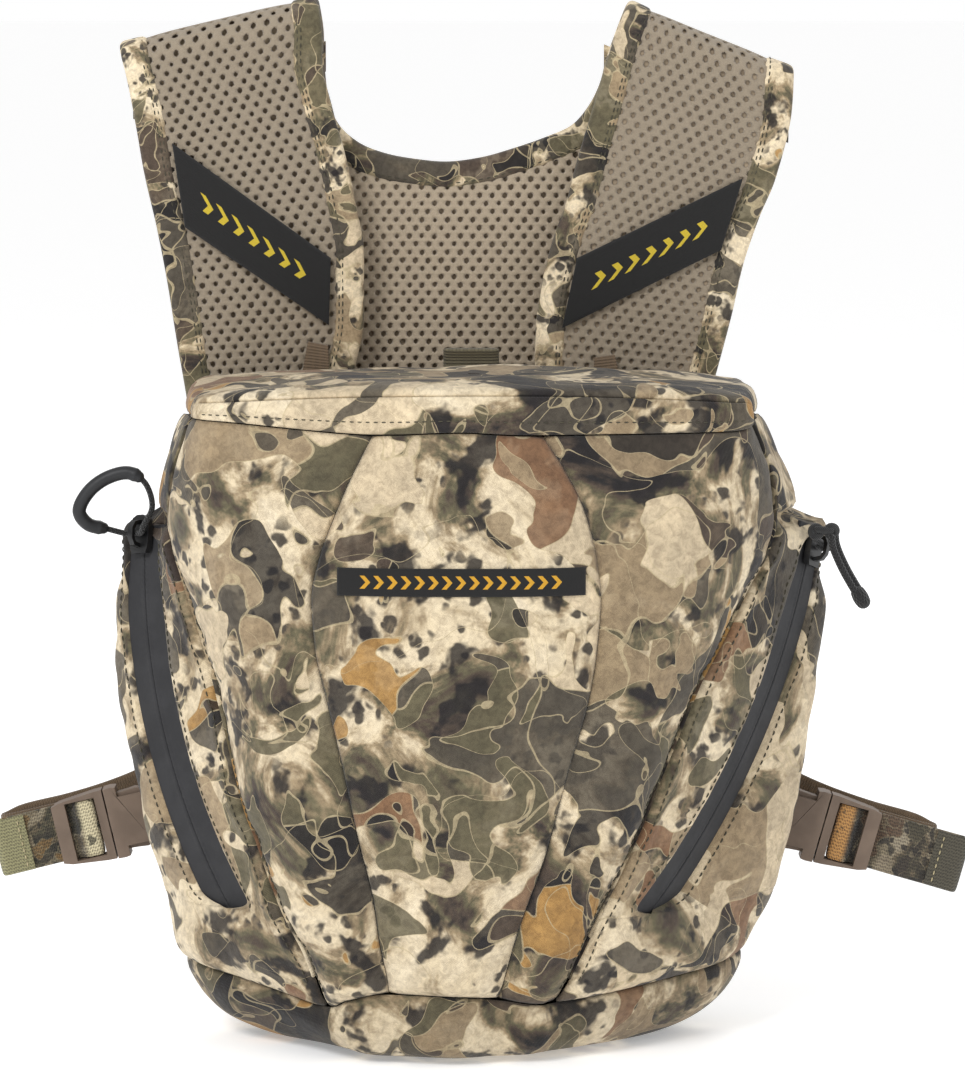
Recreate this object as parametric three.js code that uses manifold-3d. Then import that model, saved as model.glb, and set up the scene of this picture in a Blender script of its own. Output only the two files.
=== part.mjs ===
// Binocular harness pack: a padded chest pack with a lift-up lid, two curved zipped side
// pockets, two side-release buckles, and a spacer-mesh shoulder harness folded up behind it.
// Millimetres, +Z up. X runs to the viewer's right, the front faces -Y; left and right are the
// viewer's. Everything is drawn with the rear face of the back panel at y = 0 and the flat of
// the bottom panel at z = 0, then moved along Y so that the origin is the middle of that flat.
import * as THREE from 'three';
import { mergeVertices } from 'three/addons/utils/BufferGeometryUtils.js';
import Module from 'manifold-3d';

const wasm = await Module();
wasm.setup();
const { Manifold } = wasm;

// ---------------------------------------------------------------- driving dimensions
const MID_Y = -42;              // middle of the pack, front to back
const PANEL_T = 3.4;            // padded fabric wall
const SIDE_WALL_T = 2.6;        // wall behind a pocket
const POCKET_T = 2.4;           // side pocket shell
const POCKET_TOP_T = 1.4;       // pocket shell where it turns in at the top
const SEAM_GAP = 0.22;          // half of the gap left at a sewn seam
const REAR_Y = -5.6;            // back edges of the body walls
const TAPE_W = 18;              // coated zip tape, visible width
const TAPE_T = 1.3;
const TAPE_DEPTH = 0.45;        // tape face below the pocket surface
const ZIP_Z = [48, 169];        // height range of the zip windows
const ZIP_RAIL_W = TAPE_W / 2 + 0.4;   // zip centre line to the rail on each side of it
const PIN_N = 4.0;              // height of a pull's swing line above the tape
const WEB_W = 20;               // harness webbing
const WEB_T = 1.5;
const STRAP_Y = [1.6, 5.4];     // shoulder strap, front layer
const YOKE_Y = [14.6, 18.2];    // upper-back yoke
const BIND_W = 10;              // binding tape, folded width
const BIND_T = 4.6;
const LID_GAP = 0.5;            // lid rim above the body's top seam
const LID_MID = { x: 3, y: -44 };

const material = (color, roughness, metalness = 0) => ({ color, roughness, metalness });
const MATERIALS = {             // colour, roughness, metalness
  camo: material(0x8d8466, 0.9),
  camo2: material(0x77705a, 0.9),
  binding: material(0x9a9272, 0.9),
  mesh: material(0x8c7a6c, 0.92),
  lining: material(0x4b4a44, 0.85),
  coated: material(0x37373a, 0.55),
  cord: material(0x141415, 0.8),
  tube: material(0x2e2f31, 0.7),
  buckle: material(0x7d6c5f, 0.55),
  web: material(0x6f6a52, 0.9),
  webtan: material(0x86725c, 0.9),
  black: material(0x1c1b1a, 0.8),
  slider: material(0x1b1b1c, 0.5, 0.2),
  foam: material(0x5b5750, 0.9),
  magnet: material(0xb9bcc0, 0.3, 0.9),
};

// ---------------------------------------------------------------- small maths
const V3 = (x, y, z) => new THREE.Vector3(x, y, z);
const lerp = (a, b, t) => a + (b - a) * t;
const clamp = (v, low, high) => Math.min(high, Math.max(low, v));
const steps = (a, b, n) => Array.from({ length: n + 1 }, (_, i) => lerp(a, b, i / n));
const middle = ([a, b]) => (a + b) / 2;

function smooth(from, to, v) {
  const t = clamp((v - from) / (to - from), 0, 1);
  return t * t * (3 - 2 * t);
}

// where a rising function reaches a target, by bisection
function solve(fn, target, low, high) {
  for (let i = 0; i < 50; i++) {
    const mid = (low + high) / 2;
    if (fn(mid) < target) low = mid;
    else high = mid;
  }
  return (low + high) / 2;
}

// monotone cubic through rows [z, values...], carried on straight past both ends
function table(rows) {
  const last = rows.length - 1;
  const columns = rows[0].slice(1).map((_, k) => rows.map((row) => row[k + 1]));
  const slopes = columns.map((values) => {
    const secants = rows.slice(1)
      .map((row, i) => (values[i + 1] - values[i]) / (row[0] - rows[i][0]));
    return values.map((_, i) => {
      if (i === 0) return secants[0];
      if (i === last) return secants[last - 1];
      const a = secants[i - 1];
      const b = secants[i];
      return a * b <= 0 ? 0 : (2 * a * b) / (a + b);
    });
  });
  const extend = (i, z) => columns.map((v, k) => v[i] + slopes[k][i] * (z - rows[i][0]));
  return (z) => {
    if (z <= rows[0][0]) return extend(0, z);
    if (z >= rows[last][0]) return extend(last, z);
    const i = rows.findLastIndex((row) => z > row[0]);
    const h = rows[i + 1][0] - rows[i][0];
    const t = (z - rows[i][0]) / h;
    const t2 = t * t;
    const t3 = t2 * t;
    return columns.map((v, k) => (2 * t3 - 3 * t2 + 1) * v[i]
      + (t3 - 2 * t2 + t) * h * slopes[k][i]
      + (-2 * t3 + 3 * t2) * v[i + 1] + (t3 - t2) * h * slopes[k][i + 1]);
  };
}

// the same for rows with a single value
function curve(rows) {
  const at = table(rows);
  return (z) => at(z)[0];
}

// ---------------------------------------------------------------- zip strips
// Each coated zip is a strip of a surface of revolution about its own axis, so the slider
// stays on the tape while it turns about that axis. Angles are in radians; tilt is the slope
// of the strip's width out of the plane square to the axis.
const zipStrip = ({ side, azimuth, elevation, centre, radius, tilt }) => {
  const axis = V3(
    Math.cos(elevation) * Math.sin(azimuth),
    -Math.cos(elevation) * Math.cos(azimuth),
    Math.sin(elevation),
  );
  const level = V3(0, 0, 1).cross(axis).normalize();
  const rise = axis.clone().cross(level);
  return { side, centre: V3(...centre), radius, tilt, axis, level, rise };
};
const ZIPS = {
  left: zipStrip({
    side: -1, azimuth: -0.1435, elevation: 0.2417,
    centre: [133.1757, -63.6662, 168.4501], radius: 243.7742, tilt: -0.5974,
  }),
  right: zipStrip({
    side: 1, azimuth: 0.3905, elevation: 0.1438,
    centre: [-139.5333, -123.0861, 238.0915], radius: 282.1917, tilt: -0.6614,
  }),
};

// point at an angle along the strip, `across` its width (outwards) and `out` from its face
function zipAt(zip, angle, across = 0, out = 0) {
  const radial = zip.level.clone().multiplyScalar(zip.side * Math.cos(angle))
    .addScaledVector(zip.rise, Math.sin(angle));
  const width = radial.clone().multiplyScalar(Math.cos(zip.tilt))
    .addScaledVector(zip.axis, Math.sin(zip.tilt));
  const normal = zip.axis.clone().multiplyScalar(Math.cos(zip.tilt))
    .addScaledVector(radial, -Math.sin(zip.tilt));
  return zip.centre.clone().addScaledVector(radial, zip.radius)
    .addScaledVector(width, across).addScaledVector(normal, out);
}
const zipAngle = (zip, height, across = 0) => (
  solve((angle) => zipAt(zip, angle, across).z, height, -1.2, 0.6));

// ---------------------------------------------------------------- body cross-section rails
// Fifteen rails run up the pack, from the left back edge (0) round the front to the right back
// edge (14). 1 and 13 are the pocket sides, 2-3 and 11-12 the zip edges, 4 and 10 the pocket
// fold seams, 6 and 8 the centre panel seams. Fractions lie between rails.
const LAST_RAIL = 14;
const mirrorRails = (rails) => rails.map((rail) => LAST_RAIL - rail).reverse();

// [z, x]
const leftBack = curve([
  [4, -60], [10, -66], [20, -74], [35, -81], [50, -86], [70, -90], [90, -93], [110, -96],
  [130, -98], [150, -98], [178, -96.5], [190, -96], [212, -91],
]);
const rightBack = curve([
  [4, 60], [10, 67], [20, 75.5], [35, 82.5], [50, 88], [70, 92.5], [90, 96], [110, 99],
  [130, 101], [150, 101], [178, 100], [190, 99.5], [212, 95.5],
]);
const leftPocketSide = curve([
  [3, -82], [12, -89.5], [27, -95.5], [43, -100.2], [64, -104.8], [84.5, -109],
  [105, -113.9], [126, -117.4], [146, -117.9], [160, -115.5], [171, -112.5],
]);
const rightPocketSide = curve([
  [3, 76], [12.7, 86.9], [27, 95.5], [43, 102.3], [64, 108.9], [84.5, 113.9],
  [105, 117.1], [126, 119.3], [146, 120.9], [160, 120.9], [171, 119],
]);
// body sides above the pockets
const leftUpperSide = curve([
  [160, -104], [172, -103.1], [187, -100.3], [202, -96.6], [212, -92.5],
]);
const rightUpperSide = curve([[160, 112], [173, 111.5], [187, 107.6], [202, 101.4], [212, 97]]);
// [z, y]
const pocketSideY = curve([
  [0, -24], [90, -23], [120, -20], [145, -16.5], [160, -13.5], [175, -11.5],
]);
// [z, x, y]
const leftFold = table([
  [12, -45.5, -76], [20, -47.5, -78.2], [35, -53, -79.1], [48, -59.5, -79.9],
  [60, -64.4, -77.9], [73.5, -69.2, -75.3], [82, -72.6, -73.7], [97, -76.6, -70.5],
  [114, -80.6, -66.9], [127, -84.2, -63.4], [138, -87.6, -60.3], [147, -90.6, -57.9],
  [158, -94.4, -54.5], [167, -97.2, -51.8], [176, -98.6, -50], [190, -97.2, -54],
  [205, -93, -58], [214, -90, -60],
]);
const leftPanelMiddle = table([
  [10, -36, -80], [16, -38, -82], [30, -42, -87], [50, -47, -90], [70, -54, -90.5],
  [90, -60, -90], [110, -66, -88], [130, -70, -86], [150, -75, -83], [170, -80, -80],
  [190, -82.5, -77.5], [205, -82, -76], [214, -81, -75.5],
]);
const leftCentreSeam = table([
  [10, -25, -80], [23, -25.2, -84.5], [40, -28, -88.5], [56, -30.2, -91.5],
  [76.4, -35, -94.1], [103, -40.4, -94.8], [122.6, -45.1, -94.8], [138.7, -48.7, -93.4],
  [155, -49.9, -91.9], [168, -47.4, -90.5], [187, -40.2, -87.9], [207.5, -30.2, -85.5],
  [214, -27, -85],
]);
const frontMiddle = table([
  [8, -4, -79], [16, -4, -85.5], [40, -4, -92.5], [80, -3, -97], [120, -2, -97.5],
  [160, -2, -94.5], [205, -2, -88], [214, -2, -87],
]);
const rightCentreSeam = table([
  [10, 8, -80], [21.8, 11.6, -84.2], [46, 18.1, -90.2], [70, 26.2, -93.2],
  [99.6, 34.2, -94.7], [122.6, 40.6, -94.8], [138.7, 43.2, -93.4], [155, 44.5, -91.9],
  [168, 43.2, -90.5], [184, 39, -88.3], [197, 32.5, -86.6], [207, 26, -85.5], [214, 22, -85],
]);
const rightPanelMiddle = table([
  [10, 22, -80], [16, 24, -82], [30, 28, -87], [50, 36, -90], [70, 45, -90.5],
  [90, 53, -89.5], [110, 60, -86.5], [130, 68, -82.5], [150, 76, -77], [170, 83, -74],
  [190, 86, -74.5], [205, 86.5, -75], [214, 86, -75],
]);
const rightFold = table([
  [12, 28, -77], [18.6, 30.7, -80.3], [46.5, 43.4, -83.6], [62.2, 50.9, -82.4],
  [77.5, 58.1, -80.3], [95.7, 65.4, -77.9], [113.7, 73, -73.6], [125.9, 78.7, -69.6],
  [135.7, 84.4, -65.7], [155.1, 94.6, -56.4], [166.4, 101.5, -50], [176, 103.5, -48],
  [190, 102, -51], [205, 97, -57], [214, 94, -60],
]);
// lower ends of the zip rails, down to the bottom seam
const ZIP_FOOT = {
  left: {
    outer: table([[4, -78, -38], [14, -84, -42], [27, -89.5, -46.5]]),
    inner: table([[4, -56, -58], [14, -62, -63], [27, -66, -66.5]]),
  },
  right: {
    outer: table([[4, 74, -40], [14, 80, -44], [27, 84, -49]]),
    inner: table([[4, 46, -62], [14, 50, -68], [27, 55, -72.5]]),
  },
};
// seam heights round the pack: [rail, z]
const topSeamZ = curve([
  [0, 208], [1, 209], [2, 210], [3, 211], [4, 211.5], [5, 211], [6, 207.5], [7, 208.3],
  [8, 207.3], [9, 207.5], [10, 211], [11, 211], [12, 210], [13, 209], [14, 208],
]);
const bottomSeamZ = curve([
  [0, 22], [1, 26], [2, 24], [3, 20], [4, 17], [5, 20], [6, 22.5], [7, 22.3],
  [8, 20.5], [9, 18.6], [10, 19], [11, 21], [12, 24], [13, 26], [14, 22],
]);

// rail along one edge of a zip, blended into its lower end below the window
const zipRail = (side, edge) => (z) => {
  const across = edge === 'outer' ? ZIP_RAIL_W : -ZIP_RAIL_W;
  const zip = ZIPS[side];
  const p = zipAt(zip, zipAngle(zip, clamp(z, 40, 176), across), across);
  const foot = ZIP_FOOT[side][edge](z);
  const t = smooth(ZIP_Z[0], 26, z);
  return [lerp(p.x, foot[0], t), lerp(p.y, foot[1], t)];
};

// outer surface with the pockets
const LOWER_RAILS = [
  (z) => [leftBack(z), REAR_Y],
  (z) => [leftPocketSide(z), pocketSideY(z)],
  zipRail('left', 'outer'),
  zipRail('left', 'inner'),
  leftFold,
  leftPanelMiddle,
  leftCentreSeam,
  frontMiddle,
  rightCentreSeam,
  rightPanelMiddle,
  rightFold,
  zipRail('right', 'inner'),
  zipRail('right', 'outer'),
  (z) => [rightPocketSide(z), pocketSideY(z) + 1],
  (z) => [rightBack(z), REAR_Y],
];

// outer surface above the pockets: only the side rails differ
const UPPER_SIDE_Y = -22;
const UPPER_CORNER_Y = -33;
const upperTurn = (sideX, fold) => (z) => {
  const [x, y] = fold(z);
  return [lerp(sideX(z), x, 0.35), lerp(UPPER_CORNER_Y, y, 0.55)];
};
const UPPER_RAILS = Object.assign([...LOWER_RAILS], {
  1: (z) => [leftUpperSide(z), UPPER_SIDE_Y],
  2: (z) => [leftUpperSide(z) - 0.6, UPPER_CORNER_Y],
  3: upperTurn(leftUpperSide, leftFold),
  11: upperTurn(rightUpperSide, rightFold),
  12: (z) => [rightUpperSide(z) + 0.4, UPPER_CORNER_Y],
  13: (z) => [rightUpperSide(z), UPPER_SIDE_Y],
});

// wall behind a pocket: a nearly straight line from the back edge to the fold seam
const WALL_RAILS = LOWER_RAILS.map((_, rail) => (z) => {
  const left = rail <= 4;
  const inwards = left ? 1 : -1;
  const backX = (left ? leftBack : rightBack)(z) + inwards * 4.4;
  const [foldX, foldY] = (left ? leftFold : rightFold)(z);
  const part = left ? rail / 4 : (LAST_RAIL - rail) / 4;
  const bow = Math.sin(Math.PI * part) * 1.2 * -inwards;
  return [
    lerp(backX, foldX + inwards * 4.8, part) + bow,
    lerp(REAR_Y - 3.0, foldY + 5.6, part),
  ];
});

// [x, y] at a fractional rail number, by a Catmull-Rom spline across the rails
function across(rails, rail, z) {
  const i = clamp(Math.floor(rail), 0, LAST_RAIL - 1);
  const t = rail - i;
  const beyond = (end, next) => {
    const a = rails[end](z);
    const b = rails[next](z);
    return [2 * a[0] - b[0], 2 * a[1] - b[1]];
  };
  const p = [i - 1, i, i + 1, i + 2].map((j) => {
    if (j < 0) return beyond(0, 1);
    if (j > LAST_RAIL) return beyond(LAST_RAIL, LAST_RAIL - 1);
    return rails[j](z);
  });
  return [0, 1].map((k) => 0.5 * (2 * p[1][k] + (p[2][k] - p[0][k]) * t
    + (2 * p[0][k] - 5 * p[1][k] + 4 * p[2][k] - p[3][k]) * t * t
    + (-p[0][k] + 3 * p[1][k] - 3 * p[2][k] + p[3][k]) * t * t * t));
}
const onLower = (rail, z) => V3(...across(LOWER_RAILS, rail, z), z);
const onUpper = (rail, z) => V3(...across(UPPER_RAILS, rail, z), z);

// stations for loops round the whole body
const LOOP_RAILS = steps(0, LAST_RAIL, 28).map((rail) => clamp(rail, 0.02, 13.98));

// adds the straight back edge, from right to left, to points at LOOP_RAILS
function closeLoop(points) {
  const right = points[points.length - 1];
  const left = points[0];
  return [...points, ...[0.15, 0.35, 0.5, 0.65, 0.85].map((t) => right.clone().lerp(left, t))];
}

// ---------------------------------------------------------------- mesh builders
function volume(pos, idx) {
  let v = 0;
  for (let i = 0; i < idx.length; i += 3) {
    const [a, b, c] = [idx[i] * 3, idx[i + 1] * 3, idx[i + 2] * 3];
    v += pos[a] * (pos[b + 1] * pos[c + 2] - pos[b + 2] * pos[c + 1])
      - pos[a + 1] * (pos[b] * pos[c + 2] - pos[b + 2] * pos[c])
      + pos[a + 2] * (pos[b] * pos[c + 1] - pos[b + 1] * pos[c]);
  }
  return v / 6;
}

// indexed geometry, with inside-out triangles turned over
function finish(pos, idx) {
  if (volume(pos, idx) < 0) {
    for (let i = 0; i < idx.length; i += 3) [idx[i], idx[i + 1]] = [idx[i + 1], idx[i]];
  }
  const geometry = new THREE.BufferGeometry();
  geometry.setAttribute('position', new THREE.Float32BufferAttribute(pos, 3));
  geometry.setIndex(idx);
  return geometry;
}

// padded wall: outer grid, inner grid and edge faces; cells in `hole` are left open
function wall(outer, inner, hole = () => false) {
  const rows = outer.length - 1;
  const cols = outer[0].length - 1;
  const pos = [];
  const idx = [];
  const used = {};
  const vertex = (grid, layer, r, c) => {
    const key = `${layer},${r},${c}`;
    if (!(key in used)) {
      used[key] = pos.length / 3;
      pos.push(...grid[r][c]);
    }
    return used[key];
  };
  const out = (r, c) => vertex(outer, 0, r, c);
  const inn = (r, c) => vertex(inner, 1, r, c);
  const open = (r, c) => r < 0 || c < 0 || r >= rows || c >= cols || hole(r, c);
  const quad = (a, b, c, d) => idx.push(a, b, c, a, c, d);
  for (let r = 0; r < rows; r++) {
    for (let c = 0; c < cols; c++) {
      if (open(r, c)) continue;
      const [o00, o01, o11, o10] = [out(r, c), out(r, c + 1), out(r + 1, c + 1), out(r + 1, c)];
      const [i00, i01, i11, i10] = [inn(r, c), inn(r, c + 1), inn(r + 1, c + 1), inn(r + 1, c)];
      quad(o00, o01, o11, o10);
      quad(i00, i10, i11, i01);
      if (open(r - 1, c)) quad(o01, o00, i00, i01);
      if (open(r + 1, c)) quad(o10, o11, i11, i10);
      if (open(r, c - 1)) quad(o00, o10, i10, i00);
      if (open(r, c + 1)) quad(o11, o01, i01, i11);
    }
  }
  return finish(pos, idx);
}

// grid moved along its own normals, to the side of `toward(point)`;
// depth is a number or a function of the row
function offsetGrid(grid, depth, toward) {
  const lastRow = grid.length - 1;
  const lastCol = grid[0].length - 1;
  const depthAt = typeof depth === 'function' ? depth : () => depth;
  return grid.map((row, r) => row.map((p, c) => {
    const up = grid[Math.min(r + 1, lastRow)][c].clone().sub(grid[Math.max(r - 1, 0)][c]);
    const along = row[Math.min(c + 1, lastCol)].clone().sub(row[Math.max(c - 1, 0)]);
    const normal = up.cross(along).normalize();
    if (normal.dot(toward(p).sub(p)) < 0) normal.negate();
    return p.clone().addScaledVector(normal, depthAt(r));
  }));
}
const toAxis = (p) => V3(p.x * 0.35, MID_Y, lerp(p.z, 110, 0.15));

// closed bowl from rings of equal length, plus a centre point on each side
function bowl(outerRings, outerCentre, innerRings, innerCentre) {
  const n = outerRings[0].length;
  const pos = [];
  const idx = [];
  const push = (ring) => {
    const start = pos.length / 3;
    ring.forEach((p) => pos.push(...p));
    return start;
  };
  const outer = outerRings.map(push);
  const outerTip = push([outerCentre]);
  const inner = innerRings.map(push);
  const innerTip = push([innerCentre]);
  const band = (a, b, flip) => {
    for (let k = 0; k < n; k++) {
      const l = (k + 1) % n;
      if (flip) idx.push(a + k, b + k, b + l, a + k, b + l, a + l);
      else idx.push(a + k, b + l, b + k, a + k, a + l, b + l);
    }
  };
  for (let j = 0; j < outer.length - 1; j++) band(outer[j], outer[j + 1], false);
  for (let j = 0; j < inner.length - 1; j++) band(inner[j], inner[j + 1], true);
  band(outer[0], inner[0], true);
  const lastOuter = outer[outer.length - 1];
  const lastInner = inner[inner.length - 1];
  for (let k = 0; k < n; k++) {
    const l = (k + 1) % n;
    idx.push(lastOuter + k, lastOuter + l, outerTip);
    idx.push(lastInner + l, lastInner + k, innerTip);
  }
  return finish(pos, idx);
}

// ribbon between two edge lines, with thickness split about the surface through them
function ribbon(edgeA, edgeB, thickness, cols = 1) {
  const last = edgeA.length - 1;
  const layers = [[], []];
  edgeA.forEach((a, i) => {
    const next = Math.min(i + 1, last);
    const before = Math.max(i - 1, 0);
    const tangent = edgeA[next].clone().add(edgeB[next]).sub(edgeA[before]).sub(edgeB[before]);
    const normal = tangent.cross(edgeB[i].clone().sub(a)).normalize();
    const line = steps(0, 1, cols).map((t) => a.clone().lerp(edgeB[i], t));
    [0.5, -0.5].forEach((part, layer) => {
      layers[layer].push(line.map((p) => p.clone().addScaledVector(normal, thickness * part)));
    });
  });
  return wall(...layers);
}

// webbing along a centre line, with its width direction given at each point
function webbing(points, widthDirs, width = WEB_W) {
  const edge = (offset) => points.map((p, i) => p.clone().addScaledVector(widthDirs[i], offset));
  return ribbon(edge(-width / 2), edge(width / 2), WEB_T);
}

// round cord along an open path; radius is a number or a function of the path position
function cord(points, { radius, sides, segments }) {
  const path = new THREE.CatmullRomCurve3(points, false, 'centripetal');
  const radiusAt = typeof radius === 'function' ? radius : () => radius;
  const centres = steps(0, 1, segments).map((t) => path.getPoint(t));
  const tangents = centres.map((_, i) => centres[Math.min(i + 1, segments)].clone()
    .sub(centres[Math.max(i - 1, 0)]).normalize());
  const normal = V3(0, 0, 1).cross(tangents[0]);
  // a path that starts upright needs another reference direction
  if (normal.length() < 0.1) normal.copy(V3(0, 1, 0).cross(tangents[0]));
  normal.normalize();
  const pos = [];
  centres.forEach((centre, i) => {
    normal.addScaledVector(tangents[i], -normal.dot(tangents[i])).normalize();
    const binormal = tangents[i].clone().cross(normal);
    const r = radiusAt(i / segments);
    for (let k = 0; k < sides; k++) {
      const angle = (2 * Math.PI * k) / sides;
      pos.push(...centre.clone().addScaledVector(normal, r * Math.cos(angle))
        .addScaledVector(binormal, r * Math.sin(angle)));
    }
  });
  const startTip = pos.length / 3;
  pos.push(...centres[0], ...centres[segments]);
  const idx = [];
  const lastRing = segments * sides;
  for (let k = 0; k < sides; k++) {
    const l = (k + 1) % sides;
    for (let ring = 0; ring < lastRing; ring += sides) {
      const next = ring + sides;
      idx.push(ring + k, ring + l, next + l, ring + k, next + l, next + k);
    }
    idx.push(startTip, l, k);
    idx.push(startTip + 1, lastRing + k, lastRing + l);
  }
  return finish(pos, idx);
}

// flat plate from an outline in (u, v), between n = from and n = to, placed by (u, v, n) => point
function plate(outline, from, to, place = V3, holes = []) {
  const vectors = (points) => points.map((p) => new THREE.Vector2(...p));
  const shape = new THREE.Shape(vectors(outline));
  shape.holes = holes.map((hole) => new THREE.Path(vectors(hole)));
  const extruded = new THREE.ExtrudeGeometry(shape, { depth: to - from, bevelEnabled: false });
  extruded.deleteAttribute('normal');
  extruded.deleteAttribute('uv');
  extruded.clearGroups();
  const merged = mergeVertices(extruded, 1e-4);
  const p = merged.attributes.position;
  const pos = [];
  for (let i = 0; i < p.count; i++) pos.push(...place(p.getX(i), p.getY(i), from + p.getZ(i)));
  return finish(pos, Array.from(merged.index.array));
}
// upright plate: outline in (x, z), between two y values
const upright = (outline, y0, y1) => plate(outline, y0, y1, (x, z, y) => V3(x, y, z));
const rect = (a, b, c, d) => [[a, b], [c, b], [c, d], [a, d]];
// outline symmetric about v = 0, from one half
const mirrorV = (half) => [...half, ...half.map(([u, v]) => [u, -v]).reverse()];

const toManifold = (geometry) => new Manifold(new wasm.Mesh({
  numProp: 3,
  vertProperties: new Float32Array(geometry.attributes.position.array),
  triVerts: new Uint32Array(geometry.index.array),
}));
function fromManifold(solid, place = V3) {
  const { vertProperties: v, triVerts } = solid.getMesh();
  const pos = [];
  for (let i = 0; i < v.length; i += 3) pos.push(...place(v[i], v[i + 1], v[i + 2]));
  return finish(pos, Array.from(triVerts));
}

const group = new THREE.Group();
group.name = 'binocular_harness_pack';
function add(name, geometry, materialName) {
  geometry.translate(0, -MID_Y, 0);
  const mesh = new THREE.Mesh(
    geometry, new THREE.MeshStandardMaterial(MATERIALS[materialName]));
  mesh.name = name;
  group.add(mesh);
}

// ---------------------------------------------------------------- pack body
function frontPanel(name, from, to, materialName) {
  const grid = (inset, above, below) => {
    const rails = steps(from + inset, to - inset, 4);
    return steps(0, 1, 10).map((t) => rails.map((rail) => (
      onLower(rail, lerp(bottomSeamZ(rail) + above, topSeamZ(rail) - below, t)))));
  };
  const outer = grid(SEAM_GAP * 0.03, SEAM_GAP, 0.05);
  add(name, wall(outer, offsetGrid(grid(0.045, 1.4, 0.4), PANEL_T, toAxis)), materialName);
}

// flat behind the pocket, then out to the body's upper side above it
function sideWall(side) {
  const at = (rail, z) => {
    const low = across(WALL_RAILS, rail, z);
    const high = across(UPPER_RAILS, rail, z);
    const t = smooth(173.4, 179.6, z);
    return V3(lerp(low[0], high[0], t), lerp(low[1], high[1], t), z);
  };
  const grid = (leftRails) => {
    const rails = side === 'left' ? leftRails : mirrorRails(leftRails);
    const rows = [27.5, 60, 95, 130, 160, 173.5, 179.5, 186, 196]
      .map((z) => rails.map((rail) => at(rail, z)));
    return [...rows, rails.map((rail) => at(rail, topSeamZ(rail) - 0.05))];
  };
  const inner = offsetGrid(grid([0.06, 1, 2, 3, 3.88]), SIDE_WALL_T, toAxis);
  add(`${side}_side_wall`, wall(grid([0.02, 1, 2, 3, 3.985]), inner), 'camo2');
}

function pocketShell(side) {
  const left = side === 'left';
  const grid = (leftRails, above, windowLow, windowHigh) => {
    const rails = left ? leftRails : mirrorRails(leftRails);
    const heights = [34, windowLow, 64, 82, 100, 118, 135, 152, windowHigh, 172.4];
    // top row: the shell turns in to meet the wall behind it
    const closing = rails.map((rail, c) => {
      const p = across(LOWER_RAILS, rail, 173);
      const q = across(WALL_RAILS, rail, 174);
      const t = c === 0 || c === rails.length - 1 ? 0.1 : 0.62;
      return V3(lerp(p[0], q[0], t), lerp(p[1], q[1], t), 174.6);
    });
    return [
      rails.map((rail) => onLower(rail, bottomSeamZ(rail) + above)),
      ...heights.map((z) => rails.map((rail) => onLower(rail, z))),
      closing,
    ];
  };
  const [low, high] = ZIP_Z;
  const outer = grid([0.02, 0.5, 1, 1.5, 2, 3, 3.5, 3.985], SEAM_GAP, low, high);
  const under = grid([0.08, 0.5, 1, 1.46, 1.93, 3.07, 3.5, 3.92], 1.4, low - 1, high + 0.9);
  const toward = (p) => V3(p.x * 0.8, -36, p.z > 170 ? 120 : p.z);
  const depth = (row) => (row >= outer.length - 2 ? POCKET_TOP_T : POCKET_T);
  // the zip window: one column of cells, between the window's two rows
  const windowCol = left ? 4 : 2;
  const isWindow = (row, col) => col === windowCol && row >= 2 && row < 9;
  add(`${side}_pocket_shell`, wall(outer, offsetGrid(under, depth, toward), isWindow), 'camo');
}

// a shallow dish closing the body below the bottom seam
function bottomPanel() {
  const rim = closeLoop(LOOP_RAILS.map((rail) => onLower(rail, bottomSeamZ(rail) - SEAM_GAP)));
  const ring = (scale, z) => rim.map((p) => V3(scale * p.x, lerp(MID_Y, p.y, scale), z(p)));
  const rise = (p) => 3.2 * smooth(30, 88, Math.abs(p.x + 8));   // corners lift off the flat
  const outer = [
    rim,
    ring(0.985, (p) => p.z * 0.45 + rise(p)),
    ring(0.93, (p) => 3.2 + rise(p)),
    ring(0.84, (p) => 0.7 + 0.5 * rise(p)),
    ring(0.7, () => 0),
    ring(0.35, () => 0),
  ];
  const inner = [
    rim.map((p) => V3(0.962 * p.x, lerp(MID_Y, p.y, 0.93), p.z)),
    ring(0.93, (p) => p.z * 0.45 + 2.2 + rise(p)),
    ring(0.88, (p) => 6.3 + rise(p)),
    ring(0.78, (p) => 4.2 + 0.5 * rise(p)),
    ring(0.66, () => 3.6),
    ring(0.35, () => 3.6),
  ];
  add('bottom_panel', bowl(outer, V3(0, MID_Y, 0), inner, V3(0, MID_Y, 3.6)), 'camo');
}

// a stiff flat plate, with a mesh pad on its rear face
function backPanel() {
  const outline = (heights, inset) => [
    ...heights.map((z) => [leftBack(z) + inset, z]),
    ...heights.map((z) => [rightBack(z) - inset, z]).reverse(),
  ];
  const panel = outline([24, 35, 50, 70, 90, 110, 130, 150, 178, 190, 207.5], 0.5);
  panel.push([70, 15], [60, 8.5], [-60, 8.5], [-69, 15]);
  add('back_panel', upright(panel, -5, 0), 'camo2');
  const pad = outline([20, 40, 70, 100, 140, 170, 184], 11);
  add('back_mesh_pad', upright(pad, 0.4, 5.4), 'mesh');
}

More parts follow.
